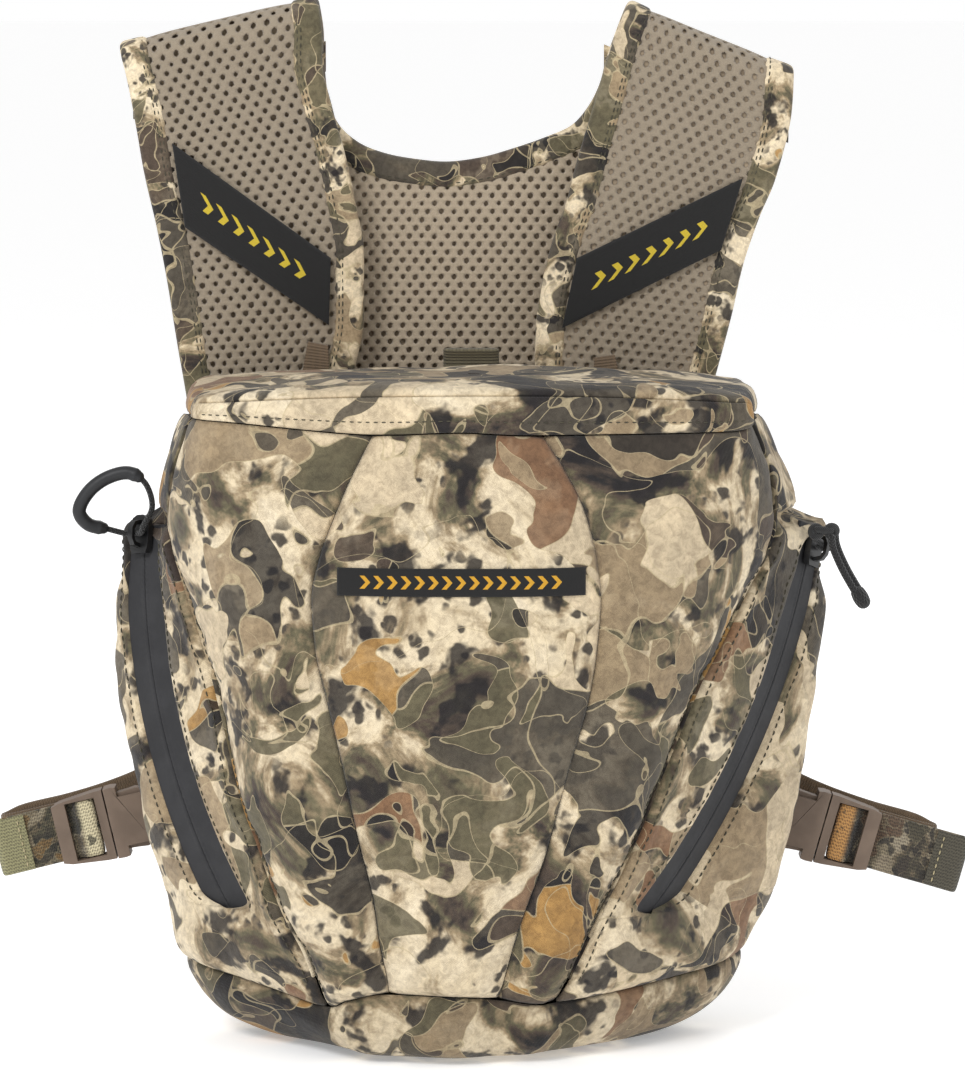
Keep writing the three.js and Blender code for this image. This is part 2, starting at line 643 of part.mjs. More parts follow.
// an open-topped box inside the panels
function compartmentLiner() {
  const rails = [0.02, 2, 3.98, 5, 6, 7, 8, 9, 10.02, 12, 13.98];
  const ring = (z, inset) => rails.map((rail) => {
    const front = rail > 4 && rail < 10;
    const [x, y] = front ? across(LOWER_RAILS, rail, z)
      : across(WALL_RAILS, rail, Math.min(z, 172));
    const dy = y - MID_Y;
    return V3(x * (1 - inset / Math.max(40, Math.hypot(x, dy))),
      MID_Y + dy * (1 - inset / Math.max(34, Math.abs(dy))), z);
  });
  const rings = (extra, scaleX, scaleY, floorZ) => {
    const sides = [30, 60, 95, 130, 165, 200]
      .map((z) => ring(z, 9.4 + 2.4 * smooth(80, 40, z) + extra));
    const floor = sides[0].map((p) => V3(p.x * scaleX, lerp(MID_Y, p.y, scaleY), floorZ));
    return [...sides.reverse(), floor];
  };
  const outer = rings(0, 0.93, 0.92, 11.6);
  const inner = rings(1.2, 0.9, 0.9, 13);
  add('compartment_liner',
    bowl(outer, V3(0, MID_Y, 11.6), inner, V3(0, MID_Y, 13)), 'lining');
}

// a plain woven tab sewn across the centre panel
function frontLabel() {
  const onFront = (x, z, lift) => {
    const rail = solve((r) => onLower(r, z).x, x, 5.2, 8.8);
    const p = onLower(rail, z);
    const along = onLower(rail + 0.02, z).sub(p).normalize();
    return p.addScaledVector(V3(along.y, -along.x, 0), lift);
  };
  const face = (lift) => [157.2, 161.2, 165.2]
    .map((z) => steps(-41, 39, 10).map((x) => onFront(x, z, lift)));
  add('front_label', wall(face(1.5), face(0.55)), 'black');
}

// ---------------------------------------------------------------- lid
const lidRimZ = (rail) => topSeamZ(rail) + LID_GAP;
const lidTopZ = (x) => (
  219.5 + 3.8 * (1 - Math.min(1, Math.abs(x - LID_MID.x) / 92) ** 2));
const lidCrestZ = (x) => lidTopZ(x) - 2.6;       // edge where the lid turns down at the front

function lidTopPanel() {
  // 1 over the front band, 0 round the sides and back
  const front = (rail) => smooth(4.2, 4.8, rail) * (1 - smooth(9.2, 9.8, rail));
  const ring = (scale, height) => {
    const points = closeLoop(LOOP_RAILS.map((rail) => {
      const p = onUpper(rail, lidRimZ(rail));
      return V3(lerp(LID_MID.x, p.x, scale), lerp(LID_MID.y, p.y, scale), 0);
    }));
    // the points added along the back edge take the height at rail 0
    return points.map((p, i) => p.setZ(height(p.x, LOOP_RAILS[i] ?? 0)));
  };
  const edgeRing = (scale, part, frontLift) => ring(scale, (x, rail) => lerp(
    lerp(lidRimZ(rail), lidCrestZ(x), part), lidCrestZ(x) + frontLift, front(rail)));
  const topRing = (scale, lift) => ring(scale, (x) => lidTopZ(x) + lift);
  const outer = [
    edgeRing(1, 0, -0.2), edgeRing(0.997, 0.5, 0.4),
    topRing(0.975, -0.9), topRing(0.9, 0), topRing(0.5, 0.4),
  ];
  const inner = [
    edgeRing(0.966, 0, -0.9), edgeRing(0.962, 0.4, -0.9),
    topRing(0.945, -3.7), topRing(0.88, -3.2), topRing(0.5, -2.8),
  ];
  const centre = (z) => V3(LID_MID.x, LID_MID.y, z);
  add('lid_top_panel', bowl(outer, centre(223.8), inner, centre(220.4)), 'camo');
}

// from the front seam up to the crest
function lidFrontBand() {
  const rows = [0, 0.35, 0.7, 1].map((t) => steps(4.92, 9.08, 12).map((rail) => {
    const { x, y } = onUpper(rail, 209);
    const bulge = 0.4 * Math.sin(Math.PI * Math.min(1, t + 0.1));
    return V3(x, y - bulge, lerp(lidRimZ(rail), lidCrestZ(x) - 1.4, t));
  }));
  const inner = offsetGrid(rows, 2.4, (p) => V3(p.x * 0.9, -40, p.z));
  add('lid_front_band', wall(rows, inner), 'camo2');
}

function lidLayers() {
  const outline = LOOP_RAILS.filter((_, i) => i % 2 === 0).map((rail) => {
    const p = onUpper(rail, 209);
    return [lerp(LID_MID.x, p.x, 0.9), lerp(LID_MID.y, p.y, 0.86)];
  });
  add('lid_stiffener', plate(outline, 215.0, 216.2), 'foam');
  add('lid_lining', plate(outline, 213.4, 214.7), 'lining');
}

function magnets(side, x) {
  const bar = (y0, y1, z0, z1) => plate(rect(x - 11, y0, x + 11, y1), z0, z1);
  add(`lid_magnet_${side}`, bar(-12.4, -10.4, 204.6, 213.1), 'magnet');
  add(`back_magnet_${side}`, bar(-7.6, -5.4, 195.5, 204.5), 'magnet');
}

function lidPullTab() {
  // [y, z]
  const path = [[-3.0, 210.6], [-2.6, 216], [-2.5, 221], [-3.2, 226], [-5.2, 229.2]];
  const points = path.map(([y, z]) => V3(2, y, z));
  add('lid_pull_tab', webbing(points, points.map(() => V3(1, 0, 0)), 19), 'web');
}

// ---------------------------------------------------------------- zips
function zipTape(side) {
  const zip = ZIPS[side];
  const half = TAPE_W / 2 - 0.15;
  const face = (out) => steps(ZIP_Z[0] + 0.5, ZIP_Z[1] - 0.4, 16)
    .map((z) => [-half, 0, half].map((w) => zipAt(zip, zipAngle(zip, z, w), w, out)));
  add(`${side}_zip_tape`, wall(face(-TAPE_DEPTH), face(-TAPE_DEPTH - TAPE_T)), 'coated');
}

// slider frame at the closed, upper end: u up the tape, v across it, n out of its face
function sliderFrame(side, height) {
  const zip = ZIPS[side];
  const angle = zipAngle(zip, height);
  const origin = zipAt(zip, angle);
  const toward = (p) => p.sub(origin).normalize();
  const along = toward(zipAt(zip, angle + 0.001));
  const width = toward(zipAt(zip, angle, 1, 0));
  const normal = toward(zipAt(zip, angle, 0, 1));
  return (u, v, n) => origin.clone().addScaledVector(along, u)
    .addScaledVector(width, v).addScaledVector(normal, n);
}
const SLIDERS = { left: sliderFrame('left', 168.5), right: sliderFrame('right', 164.5) };

function zipSlider(side) {
  const at = SLIDERS[side];
  const outline = mirrorV([[-6.5, -3.4], [-4.5, -4.2], [2, -4.6], [5.5, -3.4], [6.5, -1.4]]);
  const body = toManifold(plate(outline, 0.35, 2.5, at));
  // loop over the slider that the pull hangs in: [u, n]
  const loop = [
    [-4.8, 2.4], [-4.0, 5.4], [-1.8, 6.7], [1.8, 6.7], [4.0, 5.4], [4.8, 2.4],
    [3.5, 2.4], [2.8, 4.7], [1.3, 5.5], [-1.3, 5.5], [-2.8, 4.7], [-3.5, 2.4],
  ];
  const arch = toManifold(plate(loop, -1.1, 1.1, (u, n, v) => at(u, v, n)));
  add(`${side}_zip_slider`, fromManifold(body.add(arch)), 'slider');
}

// Pulls: each hangs in its slider's loop, threaded across the tape on the swing line.
// `off` gives points by their x, y, z distance from the middle of that line.
const pullOffset = (at) => (dx, dy, dz) => at(0, 0, PIN_N).add(V3(dx, dy, dz));

function leftPull() {
  const at = SLIDERS.left;
  const off = pullOffset(at);
  const loop = new THREE.CatmullRomCurve3([
    at(0, 0, PIN_N), at(0, 3.4, PIN_N + 0.2),
    off(-9.5, -0.6, 1.6), off(-15.8, -2.2, 3.4), off(-18.6, -3.4, 7.8), off(-15.4, -3.6, 14.4),
    off(-9.0, -3.6, 19.2), off(-1.6, -3.8, 20.8), off(3.6, -4.6, 17.6), off(6.0, -5.0, 9.6),
    at(1.6, -4.6, PIN_N + 1.2), at(0, -2.6, PIN_N + 0.1),
  ], true, 'centripetal');
  const part = (from, to, n) => steps(from, to, n).map((t) => loop.getPoint(t % 1));
  // the cord runs from one mouth of the tube, through the slider's loop, to the other mouth
  add('left_pull_cord',
    cord(part(0.645, 1.225, 30), { radius: 0.95, sides: 8, segments: 40 }), 'cord');
  add('left_pull_tube',
    cord(part(0.235, 0.635, 16), { radius: 2.3, sides: 10, segments: 18 }), 'tube');
}

function rightPull() {
  const at = SLIDERS.right;
  const off = pullOffset(at);
  // cord through the slider's loop, thickening into the knot
  const knot = [
    at(0, -2.6, PIN_N), at(0, 0, PIN_N), at(0, 2.4, PIN_N), at(0.4, 4.4, PIN_N + 0.8),
    off(4.6, -1.4, 4.6), off(5.0, -5.0, 5.0), off(8.4, -5.0, 4.6),
  ];
  const knotRadius = (t) => 0.8 + 2.45 * smooth(0.62, 0.84, t);
  add('right_pull_knot', cord(knot, { radius: knotRadius, sides: 9, segments: 20 }), 'cord');
  const hanging = [
    off(9.6, -5.2, 0.6), off(10.6, -5.2, -3.6), off(13.2, -5.0, -9.6), off(16.2, -4.8, -15.4),
  ];
  add('right_pull_cord', cord(hanging, { radius: 1.7, sides: 8, segments: 8 }), 'cord');
  const end = [off(16.6, -4.8, -16.2), off(17.5, -4.7, -18.2), off(18.7, -4.6, -21.0)];
  add('right_pull_end', cord(end, { radius: 2.6, sides: 9, segments: 4 }), 'tube');
}

// ---------------------------------------------------------------- buckles and webbing
// Buckle frame: u outwards along the webbing, v across it and upwards, n towards the back (+Y).
// tailEnd and turn are the u values where the tail ends and the return run turns back.
const BUCKLES = {
  left: { side: -1, origin: V3(-122.6, 0, 64.8), droop: 13.0, tailEnd: 38.6, turn: 36 },
  right: { side: 1, origin: V3(123.0, 0, 63.4), droop: 15.5, tailEnd: 49, turn: 38 },
};
for (const buckle of Object.values(BUCKLES)) {
  const angle = THREE.MathUtils.degToRad(buckle.droop);
  buckle.out = V3(buckle.side * Math.cos(angle), 0, -Math.sin(angle));
  buckle.width = V3(buckle.side * Math.sin(angle), 0, Math.cos(angle));
  buckle.at = (u, v, n) => buckle.origin.clone().addScaledVector(buckle.out, u)
    .addScaledVector(buckle.width, v).add(V3(0, n, 0));
}
const solid = (outline, n0, n1, holes) => toManifold(plate(outline, n0, n1, V3, holes));

function buckleSocket(name, at) {
  const shell = solid(mirrorV([
    [0, 12.4], [-2.5, 12.5], [-5.5, 12.0], [-12, 11.9], [-15, 12.1], [-22.6, 11.2], [-23.8, 10],
  ]), -4, 4);
  const socket = shell
    .subtract(solid(rect(-14.2, -10.1, 1, 10.1), -2.9, 2.9))      // mouth
    .subtract(solid(rect(-12.9, 8.7, -4.4, 14), -5, 5))           // upper side window
    .subtract(solid(rect(-12.9, -14, -4.4, -8.7), -5, 5))         // lower side window
    .subtract(solid(rect(-20.8, -10.3, -16.6, 10.3), -5, 5));     // webbing slot
  add(name, fromManifold(socket, at), 'buckle');
}

// cross piece, centre guide, side rails and two webbing bars
function bucklePlug(name, at) {
  const frame = mirrorV([[0.55, -12.3], [3.6, -12.2], [16, -10.9], [18.9, -10.0]]);
  const plug = solid(frame, -3.4, 3.4, [rect(3.6, -10.2, 14.1, 10.2)])
    .subtract(solid(rect(13.6, -10.25, 20, 10.25), 0.1, 5))       // thins the outer bar
    .add(solid(rect(6.4, -10.6, 9.4, 10.6), -0.9, 0.9))           // centre bar
    .add(solid(mirrorV([[0.7, -3.2], [-8.0, -3.0], [-10, -1.6]]), -2.2, 2.2));
  add(name, fromManifold(plug, at), 'buckle');
}

function buckleProng(name, at, sign) {
  const outline = [
    [-0.1, 6.7], [-0.1, 9.8], [-3.4, 9.98], [-6, 10.04], [-8.5, 10.24], [-11, 10.52],
    [-12.6, 9.8], [-13.5, 8.2], [-12.8, 7.4], [-9.5, 7.9], [-5, 7.0],
  ];
  add(name, plate(outline.map(([u, v]) => [u, sign * v]), -2.2, 2.2, at), 'buckle');
}

// webbing along a path of [u, n] in the buckle frame
const buckleWebbing = ({ at, width }, path) => (
  webbing(path.map(([u, n]) => at(u, 0, n)), path.map(() => width)));

// on the pack side: looped on the socket's bar, its long end running to the back panel
function anchorWebbing(name, buckle) {
  add(name, buckleWebbing(buckle, [
    [-37.5, 1.3], [-30, 1.45], [-26.2, 3.4], [-24.2, 4.95], [-22.0, 5.2], [-19.6, 4.6],
    [-18.7, 2.2], [-18.7, -2.2], [-19.6, -4.6], [-22.0, -5.2], [-24.6, -4.7],
  ]), 'webtan');
}

// adjustable end: round the plug's centre bar and out past the outer bar as the tail
function tailWebbing(name, buckle) {
  add(name, buckleWebbing(buckle, [
    [14.4, 3.1], [11.0, 3.35], [7.9, 3.3], [5.4, 2.5], [4.95, 0], [5.5, -1.9], [7.9, -2.25],
    [10.3, -1.9], [11.2, -0.4], [12.4, 0.7], [14.5, 1.25], [19.5, 1.2], [28, 0.4],
    [buckle.tailEnd, -0.4],
  ]), 'web');
}

// return run: outwards behind the tail, round, and back in to the yoke's corner
function runWebbing(name, { side, at, out, width, turn }) {
  const points = [
    at(13, 0, 6.4), at(20, 0, 6.4), at(turn - 4, 0, 6.2), at(turn, 0, 7.2),
    at(turn + 1.6, 0, 9.6), at(turn, 0, 12.2), at(turn - 5, 1, 13.2),
  ];
  const widthDirs = points.map(() => width);
  const start = points[points.length - 1];
  const end = V3(side * 67, 19.8, 147.0);
  const sweep = new THREE.CubicBezierCurve3(
    start, start.clone().addScaledVector(out, -66), end.clone().add(V3(side * 10, 0, -60)), end);
  for (let i = 1; i <= 10; i++) {
    const tangent = sweep.getTangent(i / 10);
    const dir = V3(tangent.z, 0, -tangent.x).normalize();
    if (dir.dot(widthDirs[widthDirs.length - 1]) < 0) dir.negate();   // no twist between points
    points.push(sweep.getPoint(i / 10));
    widthDirs.push(dir);
  }
  add(name, webbing(points, widthDirs), 'webtan');
}

// ---------------------------------------------------------------- shoulder straps
// Strap edges as [z, x], with the height of the fold's top at the outer and inner edge.
const STRAPS = {
  left: {
    outer: curve([
      [186, -92], [211, -95.5], [230.4, -98.7], [252, -102], [269.4, -105.2], [288.8, -109.5],
      [304.4, -112.1], [321.6, -115.3], [331, -117.8],
    ]),
    inner: curve([
      [186, -46], [200, -42.5], [219.7, -38.5], [238.9, -34.7], [260.8, -34.6],
      [278.2, -37.3], [293.8, -40.6], [310.1, -45], [327.4, -48.6], [334.5, -48.4],
      [346.9, -49.9],
    ]),
    outerTop: 330.6,
    innerTop: 346.6,
  },
  right: {
    outer: curve([
      [186, 77], [200, 80.5], [218.7, 85.5], [240.3, 91.1], [257.1, 94.8], [273.1, 100.1],
      [287.1, 105.8], [310.1, 111.1], [322.3, 111.8],
    ]),
    inner: curve([
      [186, 25], [205, 24], [222.5, 23.6], [235.5, 24], [249.6, 25.8], [267.3, 30.2],
      [277.5, 34], [291.5, 37.6], [310.1, 43.1], [328.7, 48.6], [345.6, 54.8],
    ]),
    outerTop: 322.6,
    innerTop: 345.4,
  },
};
const STRAP_FOOT_Z = 187;
const FRONT_Y = middle(STRAP_Y);
const BACK_Y = middle(YOKE_Y);
const FOLD_R = (BACK_Y - FRONT_Y) / 2;
const FOLD_Y = (FRONT_Y + BACK_Y) / 2;
const BACK_DROP = 12;           // how far the strap runs down behind the fold
// path positions: up the front layer, round the fold, down the back
const FOLD_START = 0.72;
const FOLD_END = 0.9;
const STRAP_STATIONS = [
  0, 0.09, 0.18, 0.27, 0.36, 0.45, 0.54, 0.63, FOLD_START, 0.765, 0.81, 0.855, FOLD_END, 1,
];

function shoulderStrap(side) {
  const strap = STRAPS[side];
  // part: 0 at the outer edge, 1 at the inner; shift: millimetres towards the inner edge
  const at = (part, s, shift = 0) => {
    const foldZ = lerp(strap.outerTop, strap.innerTop, part) - FOLD_R;
    let y = FRONT_Y;
    let z = lerp(STRAP_FOOT_Z, foldZ, s / FOLD_START);
    if (s > FOLD_END) {
      y = BACK_Y;
      z = lerp(foldZ, foldZ - BACK_DROP, (s - FOLD_END) / (1 - FOLD_END));
    } else if (s >= FOLD_START) {
      const angle = ((s - FOLD_START) / (FOLD_END - FOLD_START)) * Math.PI;
      y = FOLD_Y - FOLD_R * Math.cos(angle);
      z = foldZ + FOLD_R * Math.sin(angle);
    }
    const outerX = strap.outer(Math.min(z, strap.outerTop + 1));
    const innerX = strap.inner(z);
    return V3(lerp(outerX, innerX, part) + shift * Math.sign(innerX - outerX), y, z);
  };
  const line = (partAt, shift) => STRAP_STATIONS.map((s) => at(partAt(s), s, shift));
  const bandPart = (s) => BIND_W / at(0, s).distanceTo(at(1, s));
  const innerBand = (s) => 1 - bandPart(s);
  add(`${side}_strap_mesh`,
    ribbon(line(bandPart, 0.6), line(innerBand, -0.6), STRAP_Y[1] - STRAP_Y[0], 2), 'mesh');
  add(`${side}_strap_outer_binding`,
    ribbon(line(() => 0), line(bandPart), BIND_T), 'binding');
  add(`${side}_strap_inner_binding`,
    ribbon(line(innerBand), line(() => 1), BIND_T), 'binding');
}

// flat bands and tapes on the front of the straps: name, material, outline [x, z]
const STRAP_TAPES = [
  ['left_strap_band', 'black', [[-99.6, 299], [-45.8, 260], [-46.6, 237.1], [-95.5, 270.5]]],
  ['right_strap_band', 'black', [[94.4, 287.2], [87.1, 262.7], [33, 236.1], [38, 260]]],
  ['left_anchor_tape', 'webtan', [[-53.8, 231.6], [-46.9, 230.3], [-46.0, 212], [-57.4, 212]]],
  ['right_anchor_tape', 'webtan', [[44, 226], [51, 227], [54.5, 212], [43.5, 212]]],
];

// ---------------------------------------------------------------- yoke
// the yoke's end under a strap: its outer and inner corner, and the line between them
function yokeEnd({ outer, inner, outerTop, innerTop }) {
  const drop = FOLD_R + BACK_DROP + 0.4;
  const [outerZ, innerZ] = [outerTop - drop, innerTop - drop];
  const [outerX, innerX] = [outer(outerZ), inner(innerZ)];
  return {
    outer: [outerX, outerZ],
    inner: [innerX, innerZ],
    height: (x) => lerp(outerZ, innerZ, (x - outerX) / (innerX - outerX)),
  };
}

function yoke() {
  const left = yokeEnd(STRAPS.left);
  const right = yokeEnd(STRAPS.right);
  // [x, z], from the left end down, across the bottom and up to the right end
  const edge = [
    left.outer, [-104, 285], [-96, 250], [-88, 215], [-84, 185], [-81, 160], [-77.5, 146],
    [-66, 133], [-56, 129.5],
    [56, 129.5], [66, 133], [77, 146], [80, 160], [82, 185], [85, 215], [93, 250], [104, 282],
    right.outer,
  ];
  // [x, z], from left to right round the neck
  const neck = [
    left.inner, [-46.5, 312], [-43.2, 304.6], [-36.4, 298.6], [-27.3, 295.0], [-15.6, 292.9],
    [-6, 292.2], [6, 293.8], [15.3, 296.4], [27, 300.4], [36.6, 304.8], [42.4, 311.6],
    [46, 319], right.inner,
  ];
  // line moved sideways, to its left for a positive distance, with its ends kept level
  // with the strap ends
  const inset = (points, distance) => {
    const last = points.length - 1;
    return points.map(([x, z], i) => {
      const a = points[Math.max(i - 1, 0)];
      const b = points[Math.min(i + 1, last)];
      const [dx, dz] = [b[0] - a[0], b[1] - a[1]];
      const length = Math.hypot(dx, dz);
      const movedX = x - (dz / length) * distance;
      if (i === 0) return [movedX, left.height(movedX)];
      if (i === last) return [movedX, right.height(movedX)];
      return [movedX, z + (dx / length) * distance];
    });
  };
  const points = (line) => line.map(([x, z]) => V3(x, BACK_Y, z));
  const binding = (line, distance) => ribbon(points(line), points(inset(line, distance)), BIND_T);
  add('yoke_edge_binding', binding(edge, BIND_W), 'binding');
  add('neck_binding', binding(neck, 1 - BIND_W), 'binding');
  const outline = [...inset(edge, BIND_W + 0.35), ...inset(neck, 0.65 - BIND_W).reverse()];
  add('yoke_mesh', upright(outline, ...YOKE_Y), 'mesh');
}

// ---------------------------------------------------------------- assembly
const SIDES = ['left', 'right'];

frontPanel('front_panel_centre', 6, 8, 'camo');
frontPanel('front_panel_left', 4, 6, 'camo2');
frontPanel('front_panel_right', 8, 10, 'camo2');
SIDES.forEach(sideWall);
SIDES.forEach(pocketShell);
bottomPanel();
backPanel();
compartmentLiner();
frontLabel();

lidTopPanel();
lidFrontBand();
lidLayers();
magnets('left', -34);
magnets('right', 38);
lidPullTab();

for (const side of SIDES) {
  zipTape(side);
  zipSlider(side);
}
leftPull();
rightPull();

for (const [side, buckle] of Object.entries(BUCKLES)) {
  buckleSocket(`${side}_buckle_socket`, buckle.at);
  bucklePlug(`${side}_buckle_plug`, buckle.at);
  buckleProng(`${side}_prong_upper`, buckle.at, 1);
  buckleProng(`${side}_prong_lower`, buckle.at, -1);
  anchorWebbing(`${side}_anchor_webbing`, buckle);
  tailWebbing(`${side}_tail_webbing`, buckle);
  runWebbing(`${side}_run_webbing`, buckle);
}

SIDES.forEach(shoulderStrap);
for (const [name, materialName, outline] of STRAP_TAPES) {
  add(name, upright(outline, -0.1, 0.9), materialName);
}
yoke();

export default group;
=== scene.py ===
# A small camouflage backpack: a padded body with two side pockets that have curved zips, a flat
# lid, two mesh shoulder straps that rise behind it and fold over at the top into a mesh yoke,
# and a buckle on each lower side.
# It stands upright, +z up. Its front faces -y, its back and straps are towards +y, and "left" is
# -x. Shapes are drawn in mm with the rear of the back panel near y 0, and make() moves them
# into the part frame in metres.
import math
from functools import cached_property
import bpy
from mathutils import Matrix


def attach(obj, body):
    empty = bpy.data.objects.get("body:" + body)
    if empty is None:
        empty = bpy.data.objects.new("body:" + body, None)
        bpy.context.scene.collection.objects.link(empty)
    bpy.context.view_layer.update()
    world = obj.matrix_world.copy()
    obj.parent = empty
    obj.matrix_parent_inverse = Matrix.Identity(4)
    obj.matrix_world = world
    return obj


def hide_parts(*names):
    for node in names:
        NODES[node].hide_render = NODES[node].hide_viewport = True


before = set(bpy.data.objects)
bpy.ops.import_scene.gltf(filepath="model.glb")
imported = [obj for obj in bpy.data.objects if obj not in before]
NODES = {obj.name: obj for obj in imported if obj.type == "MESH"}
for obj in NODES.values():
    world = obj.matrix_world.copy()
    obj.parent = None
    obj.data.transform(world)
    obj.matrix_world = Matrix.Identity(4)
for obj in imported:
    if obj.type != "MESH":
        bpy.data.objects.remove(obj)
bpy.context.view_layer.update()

from types import SimpleNamespace

import bpy
import numpy as np
from mathutils import Vector

DRAWN_TO_PART_Y = 42.0
MM = 0.001
SIGN = {"left": -1, "right": 1}
scene = bpy.context.scene


# ------------------------------------------------------------------ maths
def vec(*values):
    return np.array(values, float)


def lerp(a, b, t):
    return a + (b - a) * t


def smooth(a, b, value):
    t = np.clip((np.asarray(value, float) - a) / (b - a), 0, 1)
    return t * t * (3 - 2 * t)


def unit(v):
    v = np.asarray(v, float)
    return v / np.maximum(np.linalg.norm(v, axis=-1, keepdims=True), 1e-12)


def table(*rows):
    """A monotone cubic through rows of (key, value, ...), straight beyond its ends.

    With one value per row the curve gives plain numbers, with more it gives vectors."""
    rows = np.array(rows, float)
    keys, values = rows[:, 0], rows[:, 1:]
    slope = np.diff(values, axis=0) / np.diff(keys)[:, None]
    tangent = np.zeros_like(values)
    tangent[0], tangent[-1] = slope[0], slope[-1]
    product, total = slope[:-1] * slope[1:], slope[:-1] + slope[1:]
    total = np.where(np.abs(total) < 1e-12, 1, total)
    tangent[1:-1] = np.where(product <= 0, 0, 2 * product / total)

    def curve(key):
        key = np.asarray(key, float)
        i = np.clip(np.searchsorted(keys, key, side="right") - 1, 0, len(keys) - 2)
        span = (keys[i + 1] - keys[i])[..., None]
        u = (key - keys[i])[..., None] / span
        u2, u3 = u * u, u * u * u
        v = ((2 * u3 - 3 * u2 + 1) * values[i] + (u3 - 2 * u2 + u) * span * tangent[i]
             + (-2 * u3 + 3 * u2) * values[i + 1] + (u3 - u2) * span * tangent[i + 1])
        for end, outside in ((0, key < keys[0]), (-1, key > keys[-1])):
            straight = values[end] + tangent[end] * (key - keys[end])[..., None]
            v = np.where(outside[..., None], straight, v)
        return v[..., 0] if v.shape[-1] == 1 else v
    return curve


def ripple(seed, scale, points):
    """Smooth pseudo-random height at each point: a sum of seven sines."""
    random = np.random.default_rng(seed)
    waves = random.normal(size=(7, 3)) / scale
    phase = random.uniform(0, 2 * np.pi, 7)
    return np.sin(np.asarray(points) @ waves.T * 2.2 + phase).sum(-1) / math.sqrt(7)


def run(points, axis=0):
    """Distance travelled along one axis of a line or grid of points."""
    step = np.linalg.norm(np.diff(points, axis=axis), axis=-1)
    return np.concatenate([np.zeros_like(step.take([0], axis)), np.cumsum(step, axis)], axis)


def interp_points(at, along, points):
    return np.stack([np.interp(at, along, points[:, k]) for k in range(points.shape[1])], -1)


def resample(points, count):
    along = run(points)
    return interp_points(np.linspace(0, along[-1], count), along, points)


def spline(points, count, closed=False):
    """Evenly spaced points along a centripetal Catmull-Rom curve."""
    points = np.array(points, float)
    if closed:
        control = np.vstack([points[-1], points, points[0], points[1]])
    else:
        control = np.vstack([2 * points[0] - points[1], points, 2 * points[-1] - points[-2]])
    out = []
    for i in range(len(control) - 3):
        p = control[i:i + 4]
        t = [0.0]
        for j in range(3):
            t.append(t[-1] + max(np.linalg.norm(p[j + 1] - p[j]), 1e-6) ** 0.5)
        for u in np.linspace(t[1], t[2], 24, endpoint=False):
            level = p
            for reach in (1, 2):
                level = [(t[j + reach] - u) / (t[j + reach] - t[j]) * level[j]
                         + (u - t[j]) / (t[j + reach] - t[j]) * level[j + 1]
                         for j in range(4 - reach)]
            out.append((t[2] - u) / (t[2] - t[1]) * level[0]
                       + (u - t[1]) / (t[2] - t[1]) * level[1])
    out.append(points[0] if closed else points[-1])
    return resample(np.array(out), count)


def sideways(line, distance):
    """A flat line moved to the left of its own direction."""
    tangent = unit(np.gradient(line, axis=0))
    return line + distance * np.stack([-tangent[:, 1], tangent[:, 0]], -1)


def stand(line, y):
    """Points (x, z) placed in the upright plane at y."""
    return np.stack([line[..., 0], np.full(line.shape[:-1], y), line[..., 1]], -1)


def uv_grid(u, v):
    return np.stack(np.broadcast_arrays(u, v), -1)


# ------------------------------------------------------------------ zip curves
# Each zip follows a circle round a tilted axis; its tape leans by `tilt` out of the circle's plane.
ZIPS = {
    "left": SimpleNamespace(azimuth=-0.1435, elevation=0.2417, radius=243.7742, tilt=-0.5974,
                            centre=vec(133.1757, -63.6662, 168.4501)),
    "right": SimpleNamespace(azimuth=0.3905, elevation=0.1438, radius=282.1917, tilt=-0.6614,
                             centre=vec(-139.5333, -123.0861, 238.0915)),
}
for side, zipper in ZIPS.items():
    flat = math.cos(zipper.elevation)
    zipper.axis = vec(flat * math.sin(zipper.azimuth), -flat * math.cos(zipper.azimuth),
                      math.sin(zipper.elevation))
    level = unit(np.cross(vec(0, 0, 1), zipper.axis))
    zipper.rise = np.cross(zipper.axis, level)
    zipper.outward = level * SIGN[side]


def zip_point(zipper, angle, across=0.0, lift=0.0):
    """A point of the zip: angle round its circle, across the tape, and lifted off it."""
    angle, across, lift = (np.asarray(a, float)[..., None] for a in (angle, across, lift))
    spoke = zipper.outward * np.cos(angle) + zipper.rise * np.sin(angle)
    cos, sin = math.cos(zipper.tilt), math.sin(zipper.tilt)
    return (zipper.centre + spoke * zipper.radius + (spoke * cos + zipper.axis * sin) * across
            + (zipper.axis * cos - spoke * sin) * lift)


def zip_angle(zipper, z, across=0.0):
    """The angle at which the zip reaches height z, by bisection."""
    z = np.asarray(z, float)
    low, high = np.full(z.shape, -1.2), np.full(z.shape, 0.6)
    for _ in range(46):
        middle = (low + high) / 2
        below = zip_point(zipper, middle, across)[..., 2] < z
        low, high = np.where(below, middle, low), np.where(below, high, middle)
    return (low + high) / 2


